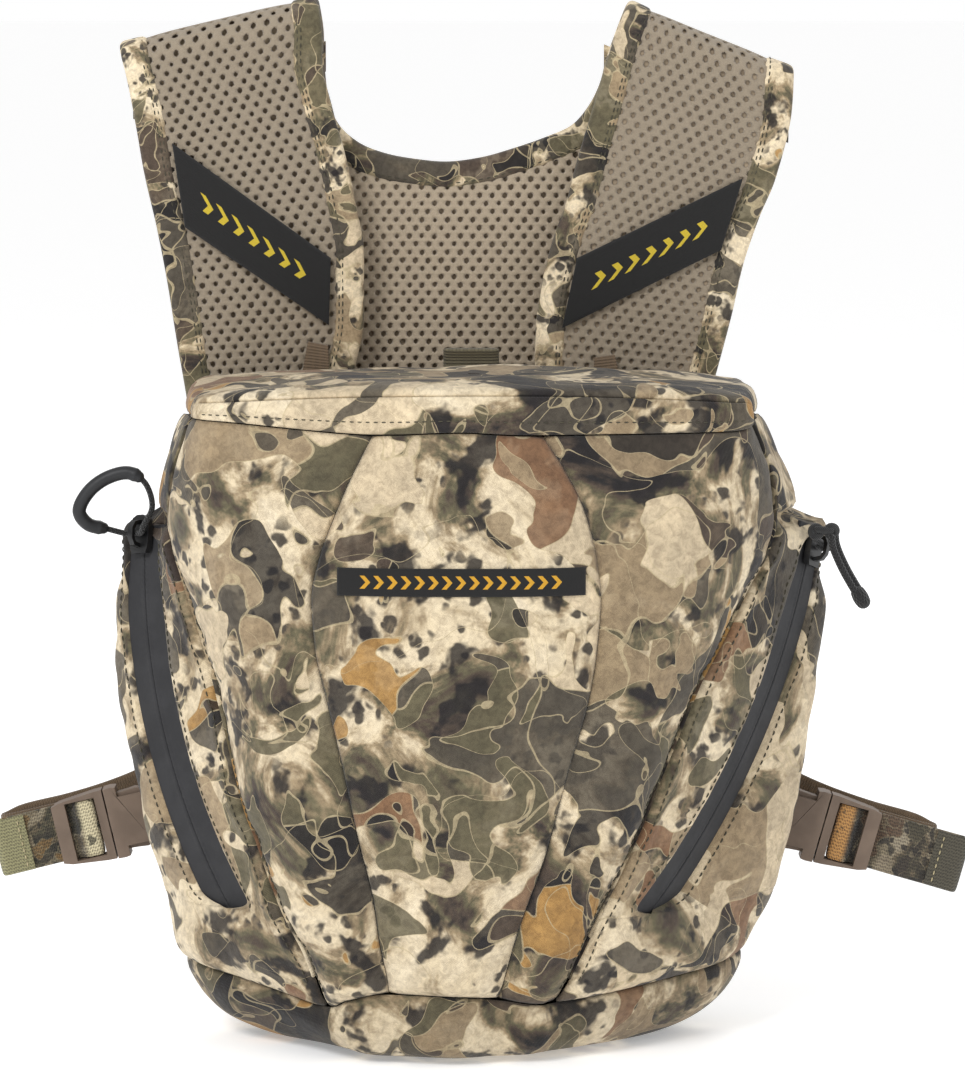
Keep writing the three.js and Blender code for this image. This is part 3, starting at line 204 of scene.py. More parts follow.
# ------------------------------------------------------------------ body rails
# Upright guide lines round the body. Rows are z, x or z, x, y; "side_y" is z, y.
OUTLINE_TABLES = dict(
    corner_left=table(
        (4, -60), (10, -66), (20, -74), (35, -81), (50, -86), (70, -90), (90, -93), (110, -96),
        (130, -98), (150, -98), (178, -96.5), (190, -96), (212, -91)),
    side_left=table(
        (3, -82), (12, -89.5), (27, -95.5), (43, -100.2), (64, -104.8), (84.5, -109),
        (105, -113.9), (126, -117.4), (146, -117.9), (160, -115.5), (171, -112.5)),
    side_y=table((0, -24), (90, -23), (120, -20), (145, -16.5), (160, -13.5), (175, -11.5)),
    collar_left=table((160, -104), (172, -103.1), (187, -100.3), (202, -96.6), (212, -92.5)),
    pocket_seam_left=table(
        (12, -45.5, -76), (20, -47.5, -78.2), (35, -53, -79.1), (48, -59.5, -79.9),
        (60, -64.4, -77.9), (73.5, -69.2, -75.3), (82, -72.6, -73.7), (97, -76.6, -70.5),
        (114, -80.6, -66.9), (127, -84.2, -63.4), (138, -87.6, -60.3), (147, -90.6, -57.9),
        (158, -94.4, -54.5), (167, -97.2, -51.8), (176, -98.6, -50), (190, -97.2, -54),
        (205, -93, -58), (214, -90, -60)),
    flank_left=table(
        (10, -36, -80), (16, -38, -82), (30, -42, -87), (50, -47, -90), (70, -54, -90.5),
        (90, -60, -90), (110, -66, -88), (130, -70, -86), (150, -75, -83), (170, -80, -80),
        (190, -82.5, -77.5), (205, -82, -76), (214, -81, -75.5)),
    panel_seam_left=table(
        (10, -25, -80), (23, -25.2, -84.5), (40, -28, -88.5), (56, -30.2, -91.5),
        (76.4, -35, -94.1), (103, -40.4, -94.8), (122.6, -45.1, -94.8), (138.7, -48.7, -93.4),
        (155, -49.9, -91.9), (168, -47.4, -90.5), (187, -40.2, -87.9), (207.5, -30.2, -85.5),
        (214, -27, -85)),
    centre=table(
        (8, -4, -79), (16, -4, -85.5), (40, -4, -92.5), (80, -3, -97), (120, -2, -97.5),
        (160, -2, -94.5), (205, -2, -88), (214, -2, -87)),
    panel_seam_right=table(
        (10, 8, -80), (21.8, 11.6, -84.2), (46, 18.1, -90.2), (70, 26.2, -93.2),
        (99.6, 34.2, -94.7), (122.6, 40.6, -94.8), (138.7, 43.2, -93.4), (155, 44.5, -91.9),
        (168, 43.2, -90.5), (184, 39, -88.3), (197, 32.5, -86.6), (207, 26, -85.5),
        (214, 22, -85)),
    flank_right=table(
        (10, 22, -80), (16, 24, -82), (30, 28, -87), (50, 36, -90), (70, 45, -90.5),
        (90, 53, -89.5), (110, 60, -86.5), (130, 68, -82.5), (150, 76, -77), (170, 83, -74),
        (190, 86, -74.5), (205, 86.5, -75), (214, 86, -75)),
    pocket_seam_right=table(
        (12, 28, -77), (18.6, 30.7, -80.3), (46.5, 43.4, -83.6), (62.2, 50.9, -82.4),
        (77.5, 58.1, -80.3), (95.7, 65.4, -77.9), (113.7, 73, -73.6), (125.9, 78.7, -69.6),
        (135.7, 84.4, -65.7), (155.1, 94.6, -56.4), (166.4, 101.5, -50), (176, 103.5, -48),
        (190, 102, -51), (205, 97, -57), (214, 94, -60)),
    side_right=table(
        (3, 76), (12.7, 86.9), (27, 95.5), (43, 102.3), (64, 108.9), (84.5, 113.9),
        (105, 117.1), (126, 119.3), (146, 120.9), (160, 120.9), (171, 119)),
    collar_right=table((160, 112), (173, 111.5), (187, 107.6), (202, 101.4), (212, 97)),
    corner_right=table(
        (4, 60), (10, 67), (20, 75.5), (35, 82.5), (50, 88), (70, 92.5), (90, 96), (110, 99),
        (130, 101), (150, 101), (178, 100), (190, 99.5), (212, 95.5)),
)
# The rails either side of each zip below the zip itself, outer then inner. Rows are z, x, y.
ZIP_FEET = {
    "left": (table((4, -78, -38), (14, -84, -42), (27, -89.5, -46.5)),
             table((4, -56, -58), (14, -62, -63), (27, -66, -66.5))),
    "right": (table((4, 74, -40), (14, 80, -44), (27, 84, -49)),
              table((4, 46, -62), (14, 50, -68), (27, 55, -72.5))),
}
BACK_Y = -5.6
ZIP_RAIL = 9.4                    # distance of a rail from the middle of the zip
RAIL_STEP = 0.25
RAIL_Z = np.arange(-4, 224.01, RAIL_STEP)
OUTLINE = {name: curve(RAIL_Z) for name, curve in OUTLINE_TABLES.items()}
SIDE_SHIFT_Y = {"left": 0.0, "right": 1.0}
COLLAR_SHIFT_X = {"left": -0.6, "right": 0.4}
CORE = vec(0, -42, 110)           # a point inside the body, which outward faces turn away from


def plan(x, y):
    return np.stack([x, np.broadcast_to(y, x.shape)], -1)


def zip_rail(side, across):
    zipper = ZIPS[side]
    z = np.clip(RAIL_Z, 40, 176)
    beside = zip_point(zipper, zip_angle(zipper, z, across), across)[:, :2]
    foot = ZIP_FEET[side][0 if across > 0 else 1](RAIL_Z)
    return lerp(beside, foot, (1 - smooth(26, 48, RAIL_Z))[:, None])


def side_rails(side):
    """One side's body, collar and wall rails, counted from the back corner to the front."""
    sign = SIGN[side]
    corner, side_x, collar, seam, flank, panel_seam = (
        OUTLINE[f"{name}_{side}"]
        for name in ("corner", "side", "collar", "pocket_seam", "flank", "panel_seam"))
    body = [plan(corner, BACK_Y), plan(side_x, OUTLINE["side_y"] + SIDE_SHIFT_Y[side]),
            zip_rail(side, ZIP_RAIL), zip_rail(side, -ZIP_RAIL), seam, flank, panel_seam]
    above = body.copy()
    above[1] = plan(collar, -22.0)
    above[2] = plan(collar + COLLAR_SHIFT_X[side], -33.0)
    above[3] = np.stack([lerp(collar, seam[:, 0], 0.35), lerp(-33, seam[:, 1], 0.55)], -1)
    start = plan(corner - sign * 4.4, BACK_Y - 3.0)
    end = seam + vec(-sign * 4.8, 5.6)
    wall = []
    for k in range(8):
        rail = lerp(start, end, k / 4)
        rail[:, 0] += math.sin(math.pi * (k / 4)) * 1.2 * sign
        wall.append(rail)
    return body, above, wall


def all_rails():
    """Rails 0 to 14 from the back left corner round the front, with one more past each end."""
    left, right = side_rails("left"), side_rails("right")
    sets = []
    for k in range(3):
        middle = [] if k == 2 else [OUTLINE["centre"]]
        rails = left[k] + middle + right[k][:7][::-1]
        sets.append(np.array([2 * rails[0] - rails[1]] + rails + [2 * rails[14] - rails[13]]))
    return sets


# The body with its pockets, the collar above the pockets, and the wall behind them.
BODY_RAILS, COLLAR_RAILS, WALL_RAILS = all_rails()


def rail_plan(rails, rail, z):
    """Plan position at a rail number, which may be a fraction, and height."""
    rail, z = np.broadcast_arrays(np.asarray(rail, float), np.asarray(z, float))
    first = np.clip(np.floor(rail).astype(int), 0, 13)
    t = (rail - first)[..., None]
    row = np.clip((z - RAIL_Z[0]) / RAIL_STEP, 0, len(RAIL_Z) - 1.001)
    k = np.floor(row).astype(int)
    u = (row - k)[..., None]
    p0, p1, p2, p3 = (rails[first + j, k] * (1 - u) + rails[first + j, k + 1] * u
                      for j in range(4))
    return 0.5 * (2 * p1 + (-p0 + p2) * t + (2 * p0 - 5 * p1 + 4 * p2 - p3) * t * t
                  + (-p0 + 3 * p1 - 3 * p2 + p3) * t ** 3)


def at_height(points, z):
    z = np.broadcast_to(np.asarray(z, float), points.shape[:-1])
    return np.concatenate([points, z[..., None]], -1)


def on_body(rail, z):
    return at_height(rail_plan(BODY_RAILS, rail, z), z)


# Heights of the body's top and bottom seams. Rows are rail number, z.
top_seam = table(
    (0, 208), (1, 209), (2, 210), (3, 211), (4, 211.5), (5, 211), (6, 207.5), (7, 208.3),
    (8, 207.3), (9, 207.5), (10, 211), (11, 211), (12, 210), (13, 209), (14, 208))
bottom_seam = table(
    (0, 22), (1, 26), (2, 24), (3, 20), (4, 17), (5, 20), (6, 22.5), (7, 22.3), (8, 20.5),
    (9, 18.6), (10, 19), (11, 21), (12, 24), (13, 26), (14, 22))


# ------------------------------------------------------------------ mesh tools
def grid_faces(rows, columns, wrap=False):
    i = np.arange(rows * columns).reshape(rows, columns)
    if wrap:
        i = np.concatenate([i, i[:, :1]], 1)
    return np.stack([i[:-1, :-1], i[:-1, 1:], i[1:, 1:], i[1:, :-1]], -1).reshape(-1, 4)


def grid_normals(grid, core=CORE):
    normals = unit(np.cross(np.gradient(grid, axis=1), np.gradient(grid, axis=0)))
    return -normals if ((grid - core) * normals).sum(-1).mean() < 0 else normals


def face_vectors(points, faces):
    """Each face's first corner, and a vector square to the face there."""
    a, b, c = (points[faces[:, k]] for k in range(3))
    return a, np.cross(b - a, c - a)


def smooth_grid(grid, rounds):
    for _ in range(rounds):
        half = grid.copy()
        half[1:-1] = (grid[:-2] + 2 * grid[1:-1] + grid[2:]) / 4
        grid = half.copy()
        grid[:, 1:-1] = (half[:, :-2] + 2 * half[:, 1:-1] + half[:, 2:]) / 4
    return grid


def make(name, points, faces, material, slot, uv=None, body="pack", replaces=None,
         thick=0.0, core=None, weld=0.0):
    """A piece from points in mm. Faces are an index array or a list of them.

    Faces turn away from core if it is given."""
    faces = faces if isinstance(faces, list) else [faces]
    points = np.asarray(points, float).reshape(-1, 3)
    if core is not None:
        corner, normal = face_vectors(points, faces[0])
        if (normal * (corner - core)).sum() < 0:
            faces = [f[:, ::-1] for f in faces]
    mesh = bpy.data.meshes.new(name)
    placed = (points + vec(0, DRAWN_TO_PART_Y, 0)) * MM
    mesh.vertices.add(len(placed))
    mesh.vertices.foreach_set("co", placed.astype(np.float32).ravel())
    loops = np.concatenate([f.ravel() for f in faces]).astype(np.int32)
    sizes = np.concatenate([np.full(len(f), f.shape[1]) for f in faces])
    starts = np.concatenate([[0], np.cumsum(sizes)[:-1]]).astype(np.int32)
    mesh.loops.add(len(loops))
    mesh.loops.foreach_set("vertex_index", loops)
    mesh.polygons.add(len(sizes))
    mesh.polygons.foreach_set("loop_start", starts)
    mesh.update(calc_edges=True)
    if uv is not None:
        corners = np.asarray(uv, float).reshape(-1, 2)[loops] * MM
        layer = mesh.uv_layers.new(name="UVMap")
        layer.data.foreach_set("uv", corners.astype(np.float32).ravel())
    mesh.validate()
    mesh.polygons.foreach_set("use_smooth", np.full(len(mesh.polygons), True))
    mesh.materials.append(material)
    piece = bpy.data.objects.new(name, mesh)
    scene.collection.objects.link(piece)
    if weld:
        piece.modifiers.new("Weld", "WELD").merge_threshold = weld * MM
    if thick:
        solid = piece.modifiers.new("Thickness", "SOLIDIFY")
        solid.thickness = thick * MM
        solid.offset = -1.0
    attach(piece, body)
    if replaces:
        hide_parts(replaces)


def make_grid(name, grid, material, slot, uv, **piece):
    make(name, grid, grid_faces(*grid.shape[:2]), material, slot, uv=uv, **piece)


def orient(points, faces):
    """Turns a closed shape's faces outward."""
    points = np.asarray(points).reshape(-1, 3)
    centre = points.mean(0)
    volume = 0
    for f in faces:
        for k in range(1, f.shape[1] - 1):
            a, b, c = (points[f[:, j]] - centre for j in (0, k, k + 1))
            volume += np.einsum("ij,ij->i", a, np.cross(b, c)).sum()
    return [f[:, ::-1] for f in faces] if volume < 0 else faces


def side_vectors(path):
    """Two directions square to the path at each point, carried along without twist."""
    tangents = unit(np.gradient(path, axis=0))
    normal = np.cross(vec(0, 0, 1), tangents[0])
    if np.linalg.norm(normal) < 0.1:
        normal = np.cross(vec(0, 1, 0), tangents[0])
    normals = []
    for t in tangents:
        normal = unit(normal - (normal @ t) * t)
        normals.append(normal)
    normals = np.array(normals)
    return tangents, normals, np.cross(tangents, normals)


def tube(path, radius, around):
    """A closed tube with rounded ends: points and [quads, triangles]."""
    path = np.asarray(path, float)
    tangent, normal, binormal = side_vectors(path)
    radius = np.broadcast_to(np.asarray(radius, float), (len(path),))
    rings = 4
    angle = np.linspace(0, np.pi / 2, rings + 1)[:-1]
    start = path[0] - tangent[0] * radius[0] * np.cos(angle)[:, None]
    end = (path[-1] + tangent[-1] * radius[-1] * np.cos(angle)[:, None])[::-1]
    radius = np.concatenate([radius[0] * np.sin(angle) + 0.02, radius,
                             (radius[-1] * np.sin(angle) + 0.02)[::-1]])
    path = np.vstack([start, path, end])
    normal, binormal = (np.pad(a, ((rings, rings), (0, 0)), mode="edge")
                        for a in (normal, binormal))
    turn = np.arange(around) * 2 * np.pi / around
    grid = path[:, None] + radius[:, None, None] * (
        np.cos(turn)[None, :, None] * normal[:, None]
        + np.sin(turn)[None, :, None] * binormal[:, None])
    fan = np.stack([np.zeros(around - 2, int), np.arange(1, around - 1), np.arange(2, around)], -1)
    caps = np.concatenate([fan[:, ::-1], (len(path) - 1) * around + fan])
    return grid.reshape(-1, 3), [grid_faces(len(path), around, True), caps]


def join(parts):
    """Several (points, [quads, triangles]) as one, turned outward."""
    starts = np.cumsum([0] + [len(points) for points, _ in parts[:-1]])
    points = np.vstack([p for p, _ in parts])
    faces = [np.concatenate([f[k] + start for (_, f), start in zip(parts, starts)])
             for k in (0, 1)]
    return points, orient(points, faces)


def tube_piece(name, path, radius, around, material, slot, **piece):
    points, faces = tube(path, radius, around)
    corner, normal = face_vectors(points, faces[0])
    if (normal * corner).sum() < 0:
        faces = [f[:, ::-1] for f in faces]
    along = run(path)
    rows = len(points) // around
    v = np.interp(np.linspace(0, 1, rows), np.linspace(0, 1, len(along)), along)
    u = np.arange(around) / around * 2 * np.pi * float(np.max(radius))
    make(name, points, faces, material, slot, uv=uv_grid(u, v[:, None]), **piece)


def strip(name, edge_a, edge_b, thick, material, slot, columns=9, rounding=0.36,
          lift=0.0, v_start=0.0, **piece):
    """A closed rounded band between two edge lines. Returns its normals."""
    middle = (edge_a + edge_b) / 2
    across = edge_b - edge_a
    normals = unit(np.cross(unit(np.gradient(middle, axis=0)), across))
    x = np.concatenate([[0, 0.02, 0.06], np.linspace(0.13, 0.87, columns), [0.94, 0.98, 1.0]])
    height = np.clip((1 - np.abs(2 * x - 1) ** (2 / rounding)) ** 0.5, 0.0, 1)
    xs = np.concatenate([x, x[::-1][1:-1]])
    ys = np.concatenate([height, -height[::-1][1:-1]]) * thick / 2
    grid = (edge_a[:, None] + across[:, None] * xs[None, :, None]
            + normals[:, None] * ys[None, :, None])
    grid = grid + (normals * np.broadcast_to(lift, len(edge_a))[:, None])[:, None]
    rows, around, top = len(edge_a), len(xs), len(x)
    quads, triangles = [grid_faces(rows, around, True)], []
    for first, turn in ((0, -1), ((rows - 1) * around, 1)):     # the two end caps
        ring = first + np.arange(around)
        upper = ring[:top]
        lower = np.concatenate([ring[:1], ring[top:][::-1], ring[top - 1:top]])
        cap = np.stack([upper[:-1], upper[1:], lower[1:], lower[:-1]], -1)[1:-1]
        tips = np.array([[upper[0], upper[1], lower[1]], [upper[-1], lower[-2], upper[-2]]])
        quads.append(cap[:, ::turn])
        triangles.append(tips[:, ::turn])
    uv = uv_grid(xs * np.linalg.norm(across, axis=1).mean(), run(middle)[:, None] + v_start)
    faces = orient(grid, [np.concatenate(quads), np.concatenate(triangles)])
    make(name, grid, faces, material, slot, uv=uv, **piece)
    return normals


def resize(values, positions, count, axis):
    """Linear interpolation along an axis to whole positions 0 to count - 1."""
    return np.apply_along_axis(
        lambda line: np.interp(np.arange(count), positions, line), axis, values)


def drape(grid, cap, pressure, seed, step):
    """Movement of a grid blown out as cloth with its border pinned, limited to cap.

    A coarse copy is simulated at ten times size, where the solver is stable."""
    to_sim, frames = 0.01, 16
    rows, columns = (np.unique(np.round(np.linspace(0, n - 1, max(6, n // step))).astype(int))
                     for n in grid.shape[:2])
    coarse = grid[np.ix_(rows, columns)]
    normals = grid_normals(coarse)
    start = (coarse + ripple(seed, 26, coarse)[..., None] * normals * 0.35) * to_sim
    mesh = bpy.data.meshes.new("sim")
    faces = grid_faces(len(rows), len(columns))
    mesh.from_pydata(start.reshape(-1, 3).tolist(), [], faces.tolist())
    mesh.update()
    face_normals = np.array([p.normal for p in mesh.polygons])
    if (face_normals * normals[:-1, :-1].reshape(-1, 3)).sum() < 0:
        mesh.flip_normals()
    sheet = bpy.data.objects.new("sim", mesh)
    scene.collection.objects.link(sheet)
    border = np.ones(coarse.shape[:2], bool)
    border[1:-1, 1:-1] = False
    sheet.vertex_groups.new(name="pin").add(np.flatnonzero(border).tolist(), 1.0, "REPLACE")
    cloth = sheet.modifiers.new("Cloth", "CLOTH")
    settings = cloth.settings
    settings.quality = 6
    settings.mass = 0.25
    settings.tension_stiffness = settings.compression_stiffness = 18
    settings.shear_stiffness = 8
    settings.bending_stiffness = 0.6
    settings.use_pressure = True
    settings.uniform_pressure_force = pressure
    settings.vertex_group_mass = "pin"
    settings.shrink_min = -0.02
    settings.effector_weights.gravity = 0
    cloth.collision_settings.use_collision = False
    cloth.point_cache.frame_start, cloth.point_cache.frame_end = 1, frames
    for number in range(1, frames + 1):
        scene.frame_set(number)
    result = sheet.evaluated_get(bpy.context.evaluated_depsgraph_get())
    flat = np.zeros(len(result.data.vertices) * 3, np.float32)
    result.data.vertices.foreach_get("co", flat)
    moved = flat.reshape(coarse.shape).astype(float) / to_sim - coarse
    bpy.data.objects.remove(sheet)
    bpy.data.meshes.remove(mesh)
    scene.frame_set(1)
    if not np.isfinite(moved).all():      # the solver blew up: leave the panel undraped
        return np.zeros_like(grid)
    moved = moved * (cap / (cap + np.linalg.norm(moved, axis=-1, keepdims=True)))
    moved = resize(moved, rows, grid.shape[0], 0)
    return smooth_grid(resize(moved, columns, grid.shape[1], 1), 2)


# ------------------------------------------------------------------ shader tools
def srgb(red, green, blue):
    def linear(c):
        return c / 12.92 if c <= 0.04045 else ((c + 0.055) / 1.055) ** 2.4
    return (linear(red / 255), linear(green / 255), linear(blue / 255), 1.0)


def grey(value):
    return (value, value, value, 1)


class Signal:
    """A shader output that takes part in plain arithmetic."""

    def __init__(self, shader, socket):
        self.shader, self.socket = shader, socket

    def __add__(self, other):
        return self.shader.math("ADD", self, other)

    def __sub__(self, other):
        return self.shader.math("SUBTRACT", self, other)

    def __rsub__(self, other):
        return self.shader.math("SUBTRACT", other, self)

    def __mul__(self, other):
        return self.shader.math("MULTIPLY", self, other)

    def __truediv__(self, other):
        return self.shader.math("DIVIDE", self, other)

    def __abs__(self):
        return self.shader.math("ABSOLUTE", self)

    def __lt__(self, other):
        return self.shader.math("LESS_THAN", self, other)

    def __gt__(self, other):
        return self.shader.math("GREATER_THAN", self, other)

    def fraction(self):
        return self.shader.math("FRACT", self)

    def larger(self, other):
        return self.shader.math("MAXIMUM", self, other)

    def step(self, start, end):
        """A smooth step from 0 at start to 1 at end."""
        node = self.shader.node("ShaderNodeMapRange", interpolation_type="SMOOTHSTEP")
        self.shader.put(node.inputs[0], self)
        node.inputs[1].default_value = start
        node.inputs[2].default_value = end
        return Signal(self.shader, node.outputs[0])

    def wave(self, pitch, phase=0.0):
        return self.shader.math("SINE", self * (2 * math.pi / pitch) + phase)


class Shader:
    """A material with one Principled shader, and coordinates in mm."""

    def __init__(self, name, rough, specular, sheen=0.0):
        self.material = bpy.data.materials.new(name)
        self.material.use_nodes = True
        self.tree = self.material.node_tree
        self.tree.nodes.clear()
        output = self.node("ShaderNodeOutputMaterial")
        principled = self.node("ShaderNodeBsdfPrincipled")
        self.tree.links.new(principled.outputs[0], output.inputs[0])
        self.inputs = principled.inputs
        self.set("Roughness", rough)
        self.set("Specular IOR Level", specular)
        if sheen:
            self.set("Sheen Weight", sheen)
            self.set("Sheen Roughness", 0.6)

    @cached_property
    def coordinates(self):
        return self.node("ShaderNodeTexCoord").outputs

    @cached_property
    def mm(self):
        """Position on the object."""
        return self.scaled(Signal(self, self.coordinates["Object"]), 1000)

    @cached_property
    def uv(self):
        """Distances across and along the cloth, from the UV map."""
        return self.separate(self.scaled(Signal(self, self.coordinates["UV"]), 1000))[:2]

    def node(self, kind, **settings):
        node = self.tree.nodes.new(kind)
        for key, value in settings.items():
            setattr(node, key, value)
        return node

    def put(self, socket, value):
        if isinstance(value, Signal):
            self.tree.links.new(value.socket, socket)
        else:
            socket.default_value = value

    def set(self, name, value):
        self.put(self.inputs[name], value)

    def math(self, operation, a, b=0.0):
        node = self.node("ShaderNodeMath", operation=operation)
        self.put(node.inputs[0], a)
        self.put(node.inputs[1], b)
        return Signal(self, node.outputs[0])

    def scaled(self, vector, factor):
        node = self.node("ShaderNodeVectorMath", operation="SCALE")
        self.put(node.inputs[0], vector)
        node.inputs["Scale"].default_value = factor
        return Signal(self, node.outputs[0])

    def shifted(self, vector, offset):
        node = self.node("ShaderNodeVectorMath", operation="ADD")
        self.put(node.inputs[0], vector)
        self.put(node.inputs[1], offset)
        return Signal(self, node.outputs[0])

    def separate(self, vector):
        node = self.node("ShaderNodeSeparateXYZ")
        self.put(node.inputs[0], vector)
        return [Signal(self, socket) for socket in node.outputs]

    def noise(self, where, scale, detail=2.0, rough=0.5, warp=0.0, offset=None, output="Fac"):
        node = self.node("ShaderNodeTexNoise")
        self.put(node.inputs["Vector"], self.shifted(where, offset) if offset else where)
        for key, value in (("Scale", scale), ("Detail", detail), ("Roughness", rough),
                           ("Distortion", warp)):
            node.inputs[key].default_value = value
        return Signal(self, node.outputs[output])

    def warped(self, where, scale, amount):
        """Coordinates pushed about by a coloured noise."""
        colour = self.noise(where, scale=scale, detail=1.0, output="Color")
        centred = self.shifted(colour, (-0.5, -0.5, -0.5))
        return self.shifted(where, self.scaled(centred, amount))

    def voronoi(self, where, scale, output="Distance", feature="F1", offset=None):
        node = self.node("ShaderNodeTexVoronoi", feature=feature)
        self.put(node.inputs["Vector"], self.shifted(where, offset) if offset else where)
        node.inputs["Scale"].default_value = scale
        return Signal(self, node.outputs[output])

    def mix(self, factor, a, b, mode="MIX"):
        node = self.node("ShaderNodeMix", data_type="RGBA", blend_type=mode)
        for index, value in ((0, factor), (6, a), (7, b)):
            self.put(node.inputs[index], value)
        return Signal(self, node.outputs[2])

    def ramp(self, value, stops, interpolation="LINEAR"):
        """Colours from (position, colour) stops."""
        node = self.node("ShaderNodeValToRGB")
        self.put(node.inputs[0], value)
        node.color_ramp.interpolation = interpolation
        elements = node.color_ramp.elements
        while len(elements) < len(stops):
            elements.new(0.5)
        for element, (position, colour) in zip(elements, stops):
            element.position = position
            element.color = colour
        return Signal(self, node.outputs[0])

    def bump(self, height, depth, strength, under=None):
        """Relief of the given depth in mm, over another bump if there is one."""
        node = self.node("ShaderNodeBump")
        self.put(node.inputs["Height"], height)
        node.inputs["Distance"].default_value = depth * MM
        node.inputs["Strength"].default_value = strength
        if under:
            self.put(node.inputs["Normal"], under)
        normal = Signal(self, node.outputs[0])
        self.set("Normal", normal)
        return normal


# ------------------------------------------------------------------ materials
CREAM, TAN, OLIVE = srgb(216, 199, 168), srgb(158, 139, 110), srgb(100, 94, 72)
BROWN, CHARCOAL, OCHRE = srgb(80, 68, 58), srgb(34, 32, 33), srgb(178, 138, 80)
STONE, RUST, PALE_CREAM = srgb(82, 76, 66), srgb(136, 102, 74), srgb(228, 213, 185)
MASS, SPECKLE, VEIN = srgb(31, 28, 30), srgb(31, 27, 28), srgb(188, 172, 138)


def camo_colour(shader, offset, size):
    """Blurred bark-and-stone ground with flat outlined patches; size scales the pattern."""
    place = shader.shifted(shader.mm, offset)
    drifted = shader.warped(place, scale=0.05 / size, amount=22.0 * size)
    ground = shader.noise(place, scale=0.040 / size, detail=5.0, rough=0.60, warp=0.7,
                          offset=(31, 7, 3))
    colour = shader.ramp(ground, [(0.32, CHARCOAL), (0.385, BROWN), (0.43, OLIVE),
                                  (0.475, TAN), (0.525, CREAM), (0.66, PALE_CREAM)])
    pale = ground.step(0.44, 0.51)
    # soft dark masses
    mass = shader.noise(place, scale=0.085 / size, detail=3.0, rough=0.55, warp=0.3,
                        offset=(5, 66, 9))
    colour = shader.mix(mass.step(0.535, 0.61) * 0.92, colour, MASS)
    # round blurred speckles, gathered in regions and mostly on the pale ground
    jostled = shader.warped(place, scale=0.30 / size, amount=3.4 * size)
    distance = shader.voronoi(jostled, scale=0.205 / size)
    region = shader.noise(place, scale=0.021 / size, detail=1.0, offset=(90, 40, 12))
    spot = (1.0 - distance.step(0.27, 0.43)) * region.step(0.47, 0.53) * (pale * 0.75 + 0.15)
    colour = shader.mix(spot, colour, SPECKLE)
    # two layers of flat patches, coloured cell by cell
    cells = dict(scale=1 / (34 * size), offset=(11, 5, 70))
    pick = shader.separate(shader.voronoi(drifted, output="Color", **cells))
    fills = [
        shader.ramp(pick[0], [(0.0, OLIVE), (0.18, STONE), (0.32, CHARCOAL), (0.47, BROWN),
                              (0.57, CREAM), (0.72, TAN), (0.83, RUST), (0.91, OCHRE)],
                    "CONSTANT"),
        shader.ramp(pick[1], [(0.0, STONE), (0.20, CHARCOAL), (0.42, OLIVE), (0.58, BROWN),
                              (0.68, TAN), (0.80, CREAM), (0.93, OCHRE)], "CONSTANT"),
    ]
    tone = shader.noise(place, scale=0.09 / size, detail=4.0, rough=0.6)
    shade = shader.ramp(tone, [(0.3, (0.62, 0.6, 0.6, 1)), (0.7, (1.15, 1.12, 1.1, 1))])
    broad = shader.noise(drifted, scale=0.034 / size, detail=1.6, warp=0.4, offset=(400, 3, 90))
    small = shader.noise(drifted, scale=0.062 / size, detail=1.4, warp=0.4, offset=(40, 333, 9))
    broad_level, small_level = 0.535, 0.575
    patches = [broad > broad_level, small > small_level]
    for patch, fill in zip(patches, fills):
        colour = shader.mix(patch * 0.90, colour, shader.mix(0.7, fill, shade, "MULTIPLY"))
    # thin pale lines round the patches, between their cells and across the ground
    edge = shader.voronoi(drifted, feature="DISTANCE_TO_EDGE", **cells)
    contour = shader.noise(drifted, scale=0.03 / size, detail=1.5, warp=0.5, offset=(200, 15, 40))

    def line(value, level, width):
        return abs(value - level) < width
    rims = line(broad, broad_level, 0.0036 / size).larger(
        line(small, small_level, 0.0060 / size))
    inner = (edge < 0.0075 / size) * patches[0].larger(patches[1])
    veins = rims.larger(inner.larger(line(contour, 0.44, 0.0022 / size)))
    colour = shader.mix(veins * 0.62, colour, VEIN)
    # fine mottling over everything, coarser than the weave
    mottle = shader.noise(place, scale=0.46 / size, detail=4.0, rough=0.68, warp=0.5,
                          offset=(7, 99, 3))
    shade = shader.ramp(mottle, [(0.36, (0.50, 0.47, 0.45, 1)), (0.60, (1.12, 1.12, 1.10, 1))])
    return shader.mix(0.55, colour, shade, "MULTIPLY")


def camo(name, offset, size, tone=1.0, weave=0.9):
    """Printed cloth: tone darkens or lightens it, weave is the thread pitch in mm."""
    shader = Shader(name, rough=0.82, specular=0.22, sheen=0.12)
    colour = camo_colour(shader, offset, size)
    across, along = shader.uv
    threads = across.wave(weave) * along.wave(weave)
    fuzz = shader.noise(shader.mm, scale=2.2, detail=3.0, rough=0.7)
    shade = shader.ramp(fuzz, [(0.3, grey(0.25)), (0.7, grey(1))])
    colour = shader.mix(0.16, colour, shade, "MULTIPLY")
    if tone != 1.0:
        colour = shader.mix(1.0, colour, grey(tone), "MULTIPLY")
    shader.set("Base Color", colour)
    fine = shader.bump(threads * 0.5 + fuzz * 1.0, depth=0.14, strength=0.6)
    creases = shader.noise(shader.mm, scale=0.16, detail=4.0, rough=0.6)
    shader.bump(creases, depth=1.3, strength=0.55, under=fine)
    shader.set("Roughness", fuzz * 0.2 + 0.72)
    return shader.material


